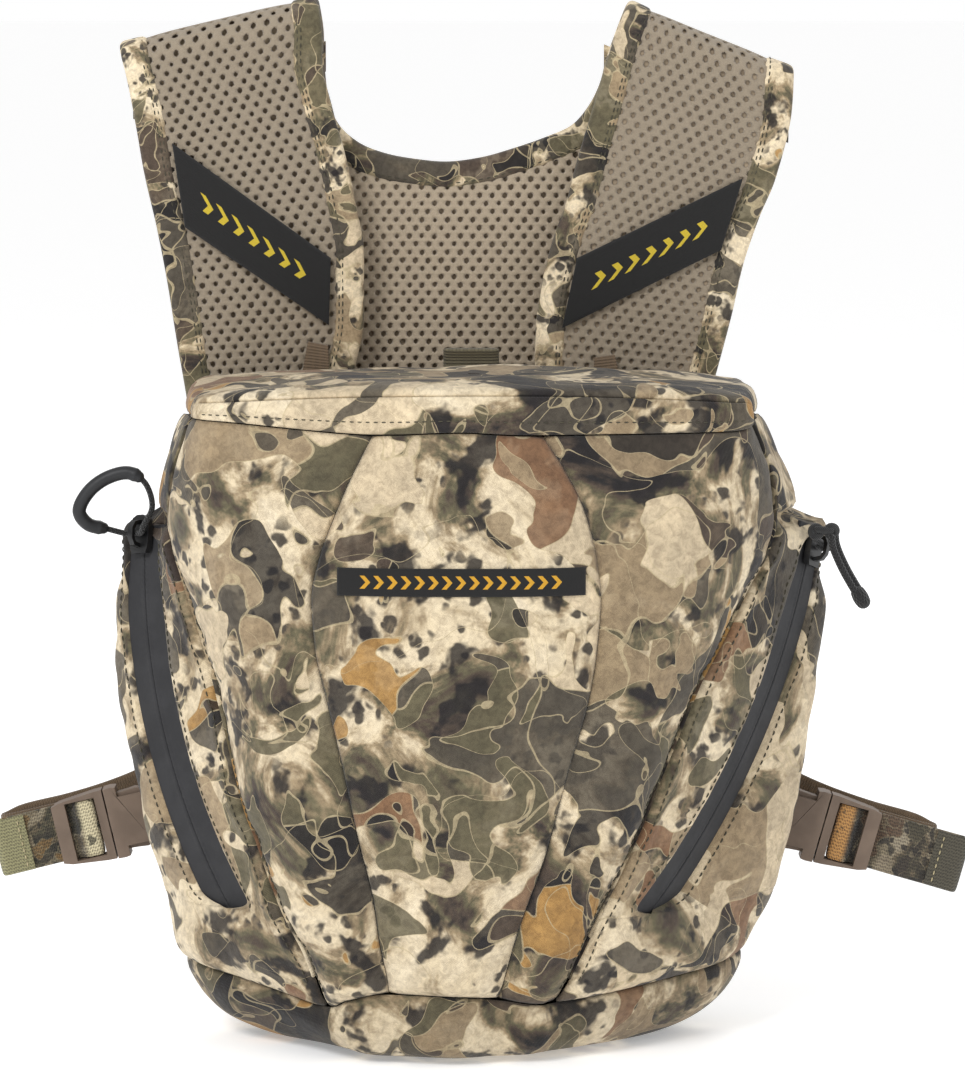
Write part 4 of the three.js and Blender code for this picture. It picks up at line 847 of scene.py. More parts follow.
def webbing(name, colour_a, colour_b, pitch=1.25):
    """Ribbed tape with a faint herringbone, along which it is darkened as painted groove shade."""
    shader = Shader(name, rough=0.8, specular=0.25, sheen=0.15)
    across, along = shader.uv
    blotch = shader.noise(shader.mm, scale=0.25, detail=3.0)
    colour = shader.mix(blotch, srgb(*colour_a), srgb(*colour_b))
    rib = along.wave(pitch)
    herringbone = (along + abs(across.wave(5.0)) * 1.6).wave(pitch)
    # Painted shade: the tape is darkened along the herringbone, as shade in its grooves.
    groove = (herringbone * 0.5 + 0.5) * 0.30
    shader.set("Base Color", shader.mix(groove, colour, (0.02, 0.018, 0.015, 1)))
    shader.bump(rib + herringbone * 0.6, depth=0.16, strength=0.8)
    return shader.material


def plain(name, colour_a, colour_b, rough, grain=3.0, depth=0.1, metal=0.0, specular=0.4,
          edge_highlight=0.0):
    """A grained surface; the last argument lightens its sharp edges as a painted highlight."""
    shader = Shader(name, rough, specular)
    speck = shader.noise(shader.mm, scale=grain, detail=4.0, rough=0.6)
    blotch = shader.noise(shader.mm, scale=0.12, detail=3.0)
    second = srgb(*colour_b)
    colour = shader.mix(blotch.step(0.35, 0.65), srgb(*colour_a), second)
    # Painted highlight: sharp edges, found by their pointiness, are mixed towards a lighter colour.
    if edge_highlight:
        geometry = shader.node("ShaderNodeNewGeometry")
        edge = Signal(shader, geometry.outputs["Pointiness"]).step(0.51, 0.58)
        painted_highlight = tuple(min(1, c * 2.2 + 0.03) for c in second[:3]) + (1,)
        colour = shader.mix(edge * edge_highlight, colour, painted_highlight)
    shader.set("Base Color", colour)
    shader.set("Metallic", metal)
    shader.set("Roughness", speck * 0.18 + (rough - 0.09))
    shader.bump(speck, depth=depth, strength=0.5)
    return shader.material


def spacer(name, tone=1.0):
    """Knitted mesh yarn."""
    shader = Shader(name, rough=0.86, specular=0.2, sheen=0.25)
    across, along = shader.uv
    knit = across.wave(0.62) * along.wave(0.5)
    fuzz = shader.noise(shader.mm, scale=1.8, detail=4.0, rough=0.65)
    dark, light, painted_hollow_shade = (srgb(*(c * tone for c in colour)) for colour in (
        (132, 119, 101), (172, 158, 137), (104, 90, 78)))
    colour = shader.mix(fuzz, dark, light)
    # Painted shade: the knit's pattern is darkened towards a third colour, as shade in its hollows.
    shader.set("Base Color", shader.mix(knit.step(-0.3, 0.8) * 0.25, colour, painted_hollow_shade))
    shader.bump(knit * 0.6 + fuzz, depth=0.2, strength=0.8)
    return shader.material


def chevrons(name, pitch, length, height, ground, ink, centre=0.0):
    """Woven band with a plain row of chevrons."""
    shader = Shader(name, rough=0.7, specular=0.3, sheen=0.1)
    u, v = shader.uv
    x = u - centre
    y = abs(v)
    bar = ((x + y * 0.9) / pitch).fraction() < 0.36
    mask = bar * (abs(x) < length / 2) * (y < height / 2)
    threads = u.wave(0.6) * v.wave(0.45)
    colour = shader.mix(mask, srgb(*ground), srgb(*ink))
    shader.set("Base Color", shader.mix(threads.step(-0.6, 0.8) * 0.3, colour, grey(0.004)))
    shader.bump(threads * 0.4 + mask * 0.9, depth=0.22, strength=0.8)
    return shader.material


def ripstop(name, colour_a, colour_b, thread, pitch=4.0, thread_share=0.13):
    """Thin cloth with a raised square grid of thicker threads."""
    shader = Shader(name, rough=0.78, specular=0.24, sheen=0.2)
    x, y, z = shader.separate(shader.mm)
    fuzz = shader.noise(shader.mm, scale=1.6, detail=4.0, rough=0.6)
    lines = [(value / pitch).fraction() < thread_share for value in (x, y + z)]
    grid = lines[0].larger(lines[1])
    cloth = shader.mix(fuzz, srgb(*colour_a), srgb(*colour_b))
    shader.set("Base Color", shader.mix(grid * 0.45, cloth, srgb(*thread)))
    shader.bump(grid * 0.8 + fuzz, depth=0.16, strength=0.7)
    return shader.material


def tail_webbing(name, wrap, shade, hem, offset, length):
    """Camouflage tape: wrap colour at its start, hem colour over its last 5 mm."""
    shader = Shader(name, rough=0.8, specular=0.22, sheen=0.15)
    wrap, shade, hem = srgb(*wrap), srgb(*shade), srgb(*hem)
    across, along = shader.uv
    colour = shader.mix(0.6, camo_colour(shader, offset, size=0.6), shade)
    blotch = shader.noise(shader.mm, scale=0.25, detail=3.0)
    start = shader.mix(blotch.step(0.58, 0.62) * 0.8, wrap, shade)
    colour = shader.mix(along.step(17.0, 19.0), start, colour)
    colour = shader.mix(along.step(length - 5.2, length - 4.9), colour, hem)
    rib = (across + along.wave(2.1) * 0.16).wave(1.15)
    pick = (along + across * 0.5).wave(0.85)
    height = rib * 0.7 + pick * 0.5
    # Painted shade: the low parts of the weave are darkened, as shade in its grooves.
    groove = height.step(0.4, -0.9) * 0.55
    shader.set("Base Color", shader.mix(groove, colour, (0.012, 0.011, 0.01, 1)))
    shader.bump(height, depth=0.18, strength=0.9)
    return shader.material


def braid(name, colour_a, colour_b, pitch=1.3):
    shader = Shader(name, rough=0.75, specular=0.3, sheen=0.2)
    u, v = shader.uv
    height = (u + v).wave(pitch).larger((u - v).wave(pitch))
    colour = shader.mix(height.step(-0.2, 0.9), srgb(*colour_a), srgb(*colour_b))
    shader.set("Base Color", colour)
    shader.bump(height, depth=0.22, strength=0.9)
    return shader.material


CAMO = {name: camo(f"camo_{name}", **look) for name, look in dict(
    centre=dict(offset=(0, 0, 0), size=1.3),
    left=dict(offset=(143, 27, 61), size=1.3),
    right=dict(offset=(-211, 84, 37), size=1.3),
    pocket_left=dict(offset=(377, -130, 12), size=1.3),
    pocket_right=dict(offset=(-415, 58, 240), size=1.3),
    lid=dict(offset=(55, 302, -90), size=1.25),
    base=dict(offset=(-33, -260, 410), size=1.25, tone=0.85),
    sides=dict(offset=(510, 33, -220), size=1.25),
    binding=dict(offset=(77, 610, 35), size=0.85, tone=1.12, weave=0.7),
).items()}
# The second mesh is the same knit painted 1.17 times lighter, as painted light on faces that turn
# towards the pack and lie in its shade.
MESH, PAINTED_LIGHT_MESH = spacer("spacer_mesh_face"), spacer("spacer_mesh_painted_light", tone=1.17)
BACKING = plain("mesh_backing", (146, 130, 110), (164, 147, 125), rough=0.9, grain=2.0, depth=0.2)
LINING = ripstop("lining_fabric", (62, 60, 53), (82, 79, 69), thread=(116, 110, 94))
COATED_TAPE = plain("coated_zip_tape", (44, 44, 46), (50, 50, 52), rough=0.62, grain=1.1,
                    depth=0.05, specular=0.25)
# The slider, rubber and buckle plastic get a painted highlight on their sharp edges.
SLIDER = plain("slider_metal", (13, 13, 14), (20, 20, 21), rough=0.38, grain=2.0, depth=0.04,
               edge_highlight=0.3)
RUBBER = plain("moulded_rubber", (26, 27, 29), (34, 35, 37), rough=0.5, grain=1.5, depth=0.05,
               edge_highlight=0.3)
BUCKLE = plain("buckle_plastic", (101, 86, 74), (111, 95, 82), rough=0.55, grain=2.4,
               depth=0.06, specular=0.35, edge_highlight=0.2)
MAGNET = plain("magnet_steel", (176, 178, 182), (190, 192, 196), rough=0.3, grain=1.0,
               depth=0.03, metal=0.9)
FOAM = plain("foam_board", (88, 84, 76), (98, 94, 84), rough=0.9, grain=0.9, depth=0.3)
DARK_THREAD = plain("thread_dark", (58, 55, 44), (74, 70, 55), rough=0.7, grain=4.0, depth=0.05)
LIGHT_THREAD = plain("thread_light", (168, 156, 122), (184, 172, 138), rough=0.7, grain=4.0,
                     depth=0.05)
TAIL_WEBBING = {
    "left": tail_webbing("webbing_left_tail", wrap=(214, 203, 168), shade=(62, 62, 52),
                         hem=(148, 144, 108), offset=(300, 12, 88), length=51.5),
    "right": tail_webbing("webbing_right_tail", wrap=(188, 140, 84), shade=(62, 59, 53),
                          hem=(84, 80, 68), offset=(12, 412, -60), length=62.0),
}
RUN_WEBBING = webbing("webbing_run", (102, 84, 64), (124, 104, 82), pitch=1.0)
ANCHOR_WEBBING = {
    "right": webbing("webbing_anchor", (180, 140, 96), (150, 112, 76)),
    "left": webbing("webbing_anchor_left", (196, 184, 152), (170, 156, 124)),
}
PULL_WEBBING = webbing("webbing_pull", (90, 84, 66), (110, 102, 80))
CORD = braid("cord_braid", (3, 3, 3), (19, 19, 20))
LABEL = chevrons("woven_label", pitch=4.4, length=66, height=4.2, ground=(16, 15, 15),
                 ink=(214, 160, 40))
STRAP_BAND = chevrons("woven_strap_band", pitch=6.4, length=44, height=6.0, ground=(20, 19, 19),
                      ink=(214, 188, 52))


# ------------------------------------------------------------------ stitches
def thread(pitch, length, radius, material=DARK_THREAD, body="pack", slot="camo_binding"):
    return SimpleNamespace(pitch=pitch, length=length, radius=radius, rows=[],
                           look=dict(material=material, body=body, slot=slot))


THREADS = dict(
    front=thread(pitch=2.7, length=1.8, radius=0.27),
    pocket=thread(pitch=2.7, length=1.8, radius=0.27),
    binding=thread(pitch=2.6, length=1.7, radius=0.25),
    lid=thread(pitch=2.6, length=1.5, radius=0.2, body="lid"),
    left_tail=thread(2.2, 1.5, 0.26, LIGHT_THREAD, "left_plug", "camo_webbing"),
    right_tail=thread(2.2, 1.5, 0.26, LIGHT_THREAD, "right_plug", "camo_webbing"),
)
STITCH_SINK = 0.1


def stitches(key, line, normals):
    """Lays a row of stitches along a line; normals is one vector or one for each point."""
    kind = THREADS[key]
    line = np.asarray(line, float)
    normals = np.broadcast_to(normals, line.shape)
    along = run(line)
    count = int(along[-1] / kind.pitch)
    middle = (np.arange(count) + 0.5) * along[-1] / count
    kind.rows.append((interp_points(middle - kind.length / 2, along, line),
                      interp_points(middle + kind.length / 2, along, line),
                      unit(interp_points(middle, along, normals))))


def seam_stitches(key, grid, normals, across, distance, rows, from_end=False):
    """Stitches up a grid at a set distance from its first or last column."""
    line, out = [], []
    for r in range(*rows.indices(len(grid))):
        at = across[r, -1] - distance if from_end else distance
        line.append(interp_points(at, across[r], grid[r]))
        out.append(interp_points(at, across[r], normals[r]))
    stitches(key, line, np.array(out))


def build_threads():
    """Each stitch is five rings of six points, thin and sunk at both ends."""
    along = vec(0, 0.12, 0.5, 0.88, 1.0)[None, :, None]
    girth = vec(0.25, 0.8, 1.0, 0.8, 0.25)[None, :, None, None]
    rise = vec(-0.35, 0.05, 0.25, 0.05, -0.35)[None, :, None]
    angle = (np.arange(6) * np.pi / 3)[None, None, :, None]
    cap = np.array([[0, 2, 1], [0, 3, 2], [0, 4, 3], [0, 5, 4]])
    caps = np.concatenate([cap, 24 + cap[:, ::-1]])
    for key, kind in THREADS.items():
        start, end, normal = (np.concatenate(part)[:, None] for part in zip(*kind.rows))
        side = np.cross(normal, unit(end - start))
        radius = kind.radius
        centre = (start * (1 - along) + end * along
                  + normal * (rise * radius * 2 + radius - STITCH_SINK))
        rings = centre[:, :, None] + radius * girth * (
            np.cos(angle) * side[:, None] + np.sin(angle) * normal[:, None])
        offset = (np.arange(len(start)) * 30)[:, None, None]
        faces = [(grid_faces(5, 6, True)[None] + offset).reshape(-1, 4),
                 (caps[None] + offset).reshape(-1, 3)]
        make(f"thread_{key}", rings, faces, **kind.look)


# ------------------------------------------------------------------ padded front panels
def pillow(grid, across, up, first_rail, puff):
    """Outward lift of a padded panel: full in the middle, pinched down at its sewn edges."""
    edges = [across, across[:, -1:] - across, up, up[-1:] - up]
    nearest = np.minimum.reduce(edges)
    sides = np.minimum(edges[0], edges[1])
    lift = puff * (1 - np.exp(-nearest / 13))
    for depth, edge in zip((1, 1, 0.8, 0.35), edges):
        lift = lift - 1.7 * depth * np.exp(-edge / 2.2)
    wrinkles = (ripple(first_rail * 13 + 5, 11, grid) * 0.5
                + ripple(first_rail * 7 + 9, 24, grid) * 0.8)
    wrinkles *= (0.35 + 0.65 * np.exp(-nearest / 14)) * (1 - np.exp(-nearest / 4)) * 0.55
    # short puckers that run in from the side seams
    puckers = (np.sin(up * 2 * np.pi / 9.5 + 2 * ripple(3, 30, grid)) * np.exp(-sides / 5)
               * (1 - np.exp(-sides / 1.6)) * 0.22)
    return lift + wrinkles + puckers


def front_panel(name, first_rail, columns, puff, cap, pressure, seed, rows=150):
    """A padded panel two rails wide. Returns its grid, normals and distances across."""
    rail = np.linspace(first_rail, first_rail + 2, columns)
    up_share = np.linspace(0, 1, rows)[:, None]
    z = lerp((bottom_seam(rail) - 0.05)[None], (top_seam(rail) + 0.15)[None], up_share)
    grid = on_body(np.broadcast_to(rail, z.shape), z)
    normals = grid_normals(grid)
    across, up = run(grid, 1), run(grid, 0)
    lift = pillow(grid, across, up, first_rail, puff)
    moved = drape(grid, cap, pressure, seed, step=3)
    sunk = np.minimum((moved * normals).sum(-1), 0)
    moved = moved - normals * sunk[..., None] * 0.5
    calm = 0.10 + 0.90 * smooth(2, 34, up[-1:] - up)      # flatter towards the top seam
    lift = np.where(lift > 0, lift * calm, lift)
    grid = grid + moved * calm[..., None] + normals * lift[..., None]
    make_grid(f"skin_front_{name}", grid, CAMO[name], "camo_fabric",
              uv_grid(across - across.mean(), up), replaces=f"front_panel_{name}", thick=3.0,
              core=CORE)
    return grid, grid_normals(grid), across


centre_grid, _, _ = front_panel("centre", first_rail=6, columns=76, puff=1.9, cap=4.6,
                                pressure=3.0, seed=3)
SIDE_PANEL = dict(columns=60, puff=1.7, cap=4.2, pressure=4.0)
left_panel = front_panel("left", first_rail=4, seed=5, **SIDE_PANEL)
right_panel = front_panel("right", first_rail=8, seed=8, **SIDE_PANEL)
seam_stitches("front", *left_panel, distance=2.6, rows=slice(4, 118))
seam_stitches("front", *right_panel, distance=2.6, rows=slice(4, 118), from_end=True)


# ------------------------------------------------------------------ side walls
def side_wall(side, start, end, seam):
    """The wall behind a pocket, which meets the collar above it."""
    rows, columns = 130, 60
    rail = np.linspace(start, end, columns)
    top = top_seam(rail) - 0.2
    z = lerp(np.full(columns, 27.5)[None], top[None], np.linspace(0, 1, rows)[:, None])
    rail = np.broadcast_to(rail, z.shape)
    to_collar = np.maximum(smooth(173.4, 179.6, z), 1 - smooth(0.0, 0.45, np.abs(rail - seam)))
    grid = at_height(lerp(rail_plan(WALL_RAILS, rail, z), rail_plan(COLLAR_RAILS, rail, z),
                          to_collar[..., None]), z)
    across = run(grid, 1)
    edge = np.minimum(across, across[:, -1:] - across)
    lift = (1.0 * (1 - np.exp(-edge / 9)) - 1.2 * np.exp(-(top[None] - z) / 2)
            + 0.35 * ripple(21, 14, grid)) * smooth(176, 184, z)
    grid = grid + grid_normals(grid) * lift[..., None]
    make_grid(f"skin_{side}_wall", grid, CAMO["sides"], "camo_fabric_dark", uv_grid(across, z),
              replaces=f"{side}_side_wall", thick=2.2, core=CORE)


side_wall("left", start=0.02, end=4.0, seam=4.0)
side_wall("right", start=10.0, end=13.98, seam=10.0)

# ------------------------------------------------------------------ pockets
POCKET_CORE = vec(0, -36, 100)
WINDOW_LOW, WINDOW_HIGH = 48.0, 169.0     # ends of the opening along the zip
ROUND_LOW, ROUND_HIGH = 4.5, 5.5          # heights of its rounded ends
RAIL_WIDTH = 18.8                         # width in mm of one rail step at the window
BELOW_ROWS = 22                           # grid rows below the window
# Rail numbers of each pocket's outer edge, the middle of its window and its front edge.
POCKET_RAILS = {"left": (0.02, 2.5, 4.0), "right": (13.98, 11.5, 10.0)}


def window_profile():
    """Heights of the grid rows from the window's foot up, and the window's half width there."""
    bend = 1 - np.cos(np.linspace(0, np.pi / 2, 9))
    z = np.unique(np.concatenate([
        WINDOW_LOW + ROUND_LOW * bend,
        np.linspace(WINDOW_LOW + ROUND_LOW, WINDOW_HIGH - ROUND_HIGH, 76),
        WINDOW_HIGH - ROUND_HIGH * bend]))
    end = np.clip(np.minimum((z - WINDOW_LOW) / ROUND_LOW, (WINDOW_HIGH - z) / ROUND_HIGH), 0, 1)
    half = (8.6 - 2.4 * smooth(140, 166, z)) * np.sqrt(np.clip(1 - (1 - end) ** 2, 0, 1))
    above = np.linspace(WINDOW_HIGH, 172.6, 4)[1:]
    return np.concatenate([z, above]), np.concatenate([half, np.zeros(3)])


def pocket_strip(side, outer):
    """Half a pocket, from its outer or front edge to the window: grid, normals, distances."""
    inward = -SIGN[side]
    outer_edge, middle, front_edge = POCKET_RAILS[side]
    edge = outer_edge if outer else front_edge
    columns = 44 if outer else 30
    t = 1 - (1 - np.linspace(0, 1, columns)) ** 1.6       # finer near the window
    window_z, window_half = window_profile()
    half = np.concatenate([np.zeros(BELOW_ROWS), window_half])[:, None]
    window_edge = middle + (-inward if outer else inward) * half / RAIL_WIDTH
    rail = edge + (window_edge - edge) * t
    share = (np.arange(BELOW_ROWS) / BELOW_ROWS)[:, None]
    below = lerp(bottom_seam(rail[:BELOW_ROWS]) - 0.05, WINDOW_LOW, share)
    z = np.vstack([below, np.repeat(window_z[:, None], columns, 1)])
    grid = on_body(rail, z)
    if outer:                             # the top corner sags inward and down
        sag = (np.clip((np.abs(rail - middle) - 0.45) / 1.1, 0, 1)
               * smooth(0.0, 0.7, np.abs(rail - edge)) * smooth(142, 173, grid[..., 2]))
        grid[..., 0] += inward * 8.0 * sag
        grid[..., 2] -= 7.5 * sag
    normals = grid_normals(grid, POCKET_CORE)
    across, bottom = run(grid, 1), run(grid, 0)
    window, top = across[:, -1:] - across, bottom[-1:] - bottom
    opening = np.clip(half / 3, 0, 1)
    lift = 1.5 * np.minimum.reduce([
        1 - np.exp(-across / 10), 1 - np.exp(-bottom / 10), 1 - np.exp(-top / 5),
        1 - 0.75 * opening * np.exp(-window / 5)])
    lift -= (1.3 * np.exp(-across / 1.8) * (1 if outer else 0.5) + 1.2 * np.exp(-bottom / 2)
             + 1.4 * np.exp(-top / 1.3))
    lift -= 1.25 * opening * np.exp(-window / 0.75)
    wrinkles = 0.45 * ripple(31 if outer else 32, 12, grid) + 0.7 * ripple(37, 26, grid)
    for distance, fall in ((window, 5), (across, 4), (bottom, 4), (top, 4)):
        wrinkles = wrinkles * (1 - np.exp(-distance / fall))
    lift += wrinkles
    if not outer:                         # a fold stands up over the front panel's seam
        lift += 1.5 * np.exp(-((across - 3.0) / 3.0) ** 2) * smooth(20, 40, grid[..., 2])
    seed = (41 if outer else 42) + (5 if side == "left" else 0)
    moved = drape(grid, cap=3.6, pressure=3.0, seed=seed, step=2)
    moved = moved * ((1 - np.exp(-window / 3)) * (1 - np.exp(-top / 3)))[..., None]
    return grid + normals * lift[..., None] + moved, normals, across


def pocket_ledge(side, outer_grid, front_grid):
    """Top of the pocket, which turns in from its rim towards the wall behind."""
    outer_edge, middle, front_edge = POCKET_RAILS[side]
    rim = np.concatenate([outer_grid[-1], front_grid[-1][::-1][1:]])
    rail = np.concatenate([np.linspace(outer_edge, middle, outer_grid.shape[1]),
                           np.linspace(middle, front_edge, front_grid.shape[1])[1:]])
    wall = at_height(rail_plan(WALL_RAILS, rail, 174.0), 175.4)
    count = np.arange(len(rail))
    end = np.minimum(count, count[::-1]) / 6.0
    rows = []
    for t in np.linspace(0, 1, 12):
        reach = 0.04 + 0.72 * t if t else 0.0
        row = lerp(rim, wall, reach * np.clip(end, 0, 1)[:, None])
        rise = 2.2 * math.sin(min(t * 1.3, 1) * math.pi / 2) + 5.5 * t * t
        row[:, 2] = rim[:, 2] + rise * np.clip(end, 0.15, 1) + 0.2 * np.sin(count * 0.5)
        rows.append(row)
    return np.array(rows)


def pocket(side):
    strips = [pocket_strip(side, outer) for outer in (True, False)]
    ledge = pocket_ledge(side, strips[0][0], strips[1][0])
    parts = [(grid, normals, uv_grid(across, grid[..., 2])) for grid, normals, across in strips]
    parts.append((ledge, np.broadcast_to(vec(0, 0, 1), ledge.shape), ledge[..., :2]))
    points, faces, uvs = [], [], []
    start = 0
    for grid, outward, uv in parts:
        flat = grid.reshape(-1, 3)
        f = grid_faces(*grid.shape[:2])
        if (face_vectors(flat, f)[1] * outward.reshape(-1, 3)[f[:, 0]]).sum() < 0:
            f = f[:, ::-1]
        points.append(flat)
        faces.append(f + start)
        uvs.append(uv.reshape(-1, 2))
        start += len(flat)
    make(f"skin_{side}_pocket", np.concatenate(points), np.concatenate(faces),
         CAMO[f"pocket_{side}"], "camo_fabric", uv=np.concatenate(uvs),
         replaces=f"{side}_pocket_shell", thick=1.6, weld=0.06)
    for part, distance in zip(strips, (2.7, 4.0)):        # beside the window
        seam_stitches("pocket", *part, distance, slice(BELOW_ROWS + 4, -8), from_end=True)
    seam_stitches("pocket", *strips[1], distance=2.6, rows=slice(6, -4))    # beside the fold


pocket("left")
pocket("right")


# ------------------------------------------------------------------ zip tapes
def zip_tape(side):
    zipper = ZIPS[side]
    across = np.concatenate([np.linspace(-9.2, -2.6, 8), np.linspace(-2.2, 2.2, 23),
                             np.linspace(2.6, 9.2, 8)])
    z = np.linspace(44.5, 171.5, 440)
    along = (z - z[0]) * 1.1
    angle = zip_angle(zipper, z)
    away = np.abs(across)
    # raised lips beside a narrow groove, falling a little to the edges
    profile = (0.16 * np.exp(-((away - 0.9) / 0.8) ** 2) - 0.75 * np.exp(-(across / 0.20) ** 2)
               - 0.10 * smooth(2.2, 6, away))
    teeth = np.sin(along * 2 * np.pi / 2.2)
    grid = np.stack([
        zip_point(zipper, angle, a,
                  -0.5 + profile[i] + 0.05 * teeth * math.exp(-(away[i] / 1.9) ** 4))
        for i, a in enumerate(across)], 1)
    make_grid(f"coated_{side}_tape", grid, COATED_TAPE, "coated_zip",
              uv_grid(across[None, :], along[:, None]), replaces=f"{side}_zip_tape",
              thick=1.0, core=POCKET_CORE)


zip_tape("left")
zip_tape("right")

# ------------------------------------------------------------------ bottom panel
LOOP_RAILS = np.linspace(0.02, 13.98, 150)


def back_points(loop):
    """Points that close a loop along its straight back."""
    return lerp(loop[-1], loop[0], np.linspace(0, 1, 34)[1:-1][:, None])


def bowl(name, stations, rows, material, thick, lift, **piece):
    """A skin along smooth curves through closed rings; lift(grid, run) moves it outward."""
    stations = np.array(stations)
    grid = np.stack([spline(stations[:, i], rows) for i in range(stations.shape[1])], 1)
    normals = unit(np.cross(np.gradient(grid, axis=0),
                            np.roll(grid, -1, 1) - np.roll(grid, 1, 1)))
    if ((grid - CORE) * normals).sum() < 0:
        normals = -normals
    grid = grid + normals * lift(grid, run(grid))[..., None]
    make(name, grid, grid_faces(*grid.shape[:2], True), material, "camo_fabric",
         uv=uv_grid(grid[..., 0], grid[..., 1] + grid[..., 2]), thick=thick, core=CORE,
         weld=0.05, **piece)


# Rings from the rim inward: scale in plan, share of the rim's height, share of the rise
# towards the sides, and height.
BASE_RINGS = [(0.985, 0.45, 1.0, 0.0), (0.93, 0, 1.0, 3.2), (0.84, 0, 0.5, 0.7),
              (0.7, 0, 0, 0.15), (0.35, 0, 0, 0.15), (0.02, 0, 0, 0.15)]


def base():
    rim = on_body(LOOP_RAILS, bottom_seam(LOOP_RAILS) + 0.05)
    rim = np.vstack([rim, back_points(rim)])
    side_rise = 8.5 * smooth(18, 84, np.abs(rim[:, 0] + 5))
    rings = [rim]
    for scale, rim_share, side_share, height in BASE_RINGS:
        z = rim[:, 2] * rim_share + side_share * side_rise + height
        rings.append(np.stack([lerp(0.0, rim[:, 0], scale), lerp(-42.0, rim[:, 1], scale), z],
                              -1))
    bowl("skin_base", rings, 60, CAMO["base"], thick=2.6, replaces="bottom_panel",
         lift=lambda grid, along: smooth(1.5, 5, grid[..., 2]) * (
             -1.5 * np.exp(-along / 2.0) + 0.35 * ripple(51, 18, grid) * smooth(2, 8, along)))


base()


# ------------------------------------------------------------------ back panel
def back_panel():
    corner_left, corner_right = OUTLINE_TABLES["corner_left"], OUTLINE_TABLES["corner_right"]
    low, high, inset = 24, 207, 0.5
    share = np.linspace(0, 1, 90)
    z = np.linspace(low, high, 90)
    foot_z = np.linspace(8.5, low, 12)
    knots = [8.5, 15, low]
    foot_left = np.interp(foot_z, knots, [-60, -69, corner_left(low) + inset])
    foot_right = np.interp(foot_z, knots, [60, 70, corner_right(low) - inset])

    def sheet(left, right, heights):
        x = left[:, None] + (right - left)[:, None] * share[None]
        return np.stack([x, np.full(x.shape, -1.4),
                         np.broadcast_to(heights[:, None], x.shape)], -1)
    upper = sheet(corner_left(z) + inset, corner_right(z) - inset, z)
    edge = np.minimum(np.minimum(share, 1 - share)[None] * 190,
                      np.minimum(z - low, high - z)[:, None])
    upper[..., 1] = -1.4 - 1.4 * np.exp(-edge / 3)
    flat = upper.copy()
    flat[..., 1] = 0.0
    upper[..., 1] += 0.35 * ripple(61, 20, flat) * smooth(0, 8, edge)
    grid = np.vstack([sheet(foot_left, foot_right, foot_z)[:-1], upper])
    make_grid("skin_back", grid, CAMO["sides"], "camo_fabric_dark", grid[..., [0, 2]],
              replaces="back_panel", thick=3.4, core=CORE)


back_panel()

# ------------------------------------------------------------------ spacer mesh
CELL_WIDTH, CELL_HEIGHT = 4.4, 2.8
HOLE_X, HOLE_Y = 0.74, 1.02               # half sizes of the oval hole


def merge(keys):
    """First index of each distinct key row, and which distinct row each key is."""
    _, first, inverse = np.unique(keys, axis=0, return_index=True, return_inverse=True)
    return first, inverse.reshape(-1)


def lattice(name, box, inside, place, material, thick, **piece):
    """Mesh with real holes: staggered cells, each two rings of quads round an oval hole.

    box is (u, v) low then high; place turns u, v and depth into a point."""
    u0, v0, u1, v1 = box
    rows, columns = int((v1 - v0) / CELL_HEIGHT), int((u1 - u0) / CELL_WIDTH) + 1
    row, column = np.meshgrid(np.arange(rows), np.arange(-1, columns), indexing="ij")
    x = u0 + column * CELL_WIDTH + (row % 2) * CELL_WIDTH / 2
    y = v0 + row * CELL_HEIGHT
    kept = inside((x + CELL_WIDTH / 2).ravel(), (y + CELL_HEIGHT / 2).ravel())
    corner = np.stack([x.ravel()[kept], y.ravel()[kept]], -1)[:, None]
    count = len(corner)
    middle = np.array([CELL_WIDTH / 2, CELL_HEIGHT / 2])
    outline = np.array([[0, 0], [.5, 0], [1, 0], [1, .5], [1, 1], [.5, 1], [0, 1], [0, .5]])
    outline = outline * [CELL_WIDTH, CELL_HEIGHT]
    angle = np.arctan2((outline[:, 1] - middle[1]) / HOLE_Y, (outline[:, 0] - middle[0]) / HOLE_X)
    hole = np.stack([middle[0] + HOLE_X * np.cos(angle), middle[1] + HOLE_Y * np.sin(angle)], -1)
    seed = len(name)
    jitter = np.random.default_rng(seed).normal(0, 0.09, (count, 1, 2))
    growth = 1 + np.random.default_rng(seed + 1).normal(0, 0.09, (count, 1, 1))
    uv = np.concatenate([corner + outline, corner + (outline * 0.38 + hole * 0.62),
                         corner + (hole - middle) * growth + middle + jitter], 1).reshape(-1, 2)
    depth = np.tile(np.repeat([0.0, -0.10, -0.55], 8), count)
    k = np.arange(8)
    k2 = (k + 1) % 8
    ring = np.stack([k, k2, 8 + k2, 8 + k], -1)
    cell = np.concatenate([ring, ring + 8])
    faces = (cell[None] + (np.arange(count) * 24)[:, None, None]).reshape(-1, 4)
    points = place(uv[:, 0], uv[:, 1], depth)
    first, inverse = merge(np.round(np.column_stack([uv * 50, depth * 50])).astype(np.int64))
    make(name, points[first], inverse[faces], material, "spacer_mesh", uv=uv[first],
         thick=thick, **piece)


# ------------------------------------------------------------------ back pad
PAD_LOW, PAD_HIGH, PAD_INSET = 20, 184, 11


def pad_left(z):
    return np.interp(z, RAIL_Z, OUTLINE["corner_left"]) + PAD_INSET


def pad_right(z):
    return np.interp(z, RAIL_Z, OUTLINE["corner_right"]) - PAD_INSET


def pad_y(x, z):
    """Rear face of the pad: soft edges and a shallow groove down the middle."""
    edge = np.minimum(np.minimum(x - pad_left(z), pad_right(z) - x),
                      np.minimum(z - PAD_LOW, PAD_HIGH - z))
    return (1.4 + 3.9 * (1 - np.exp(-np.clip(edge, 0, None) / 5.0))
            - 0.6 * np.exp(-(x / 4.0) ** 2))


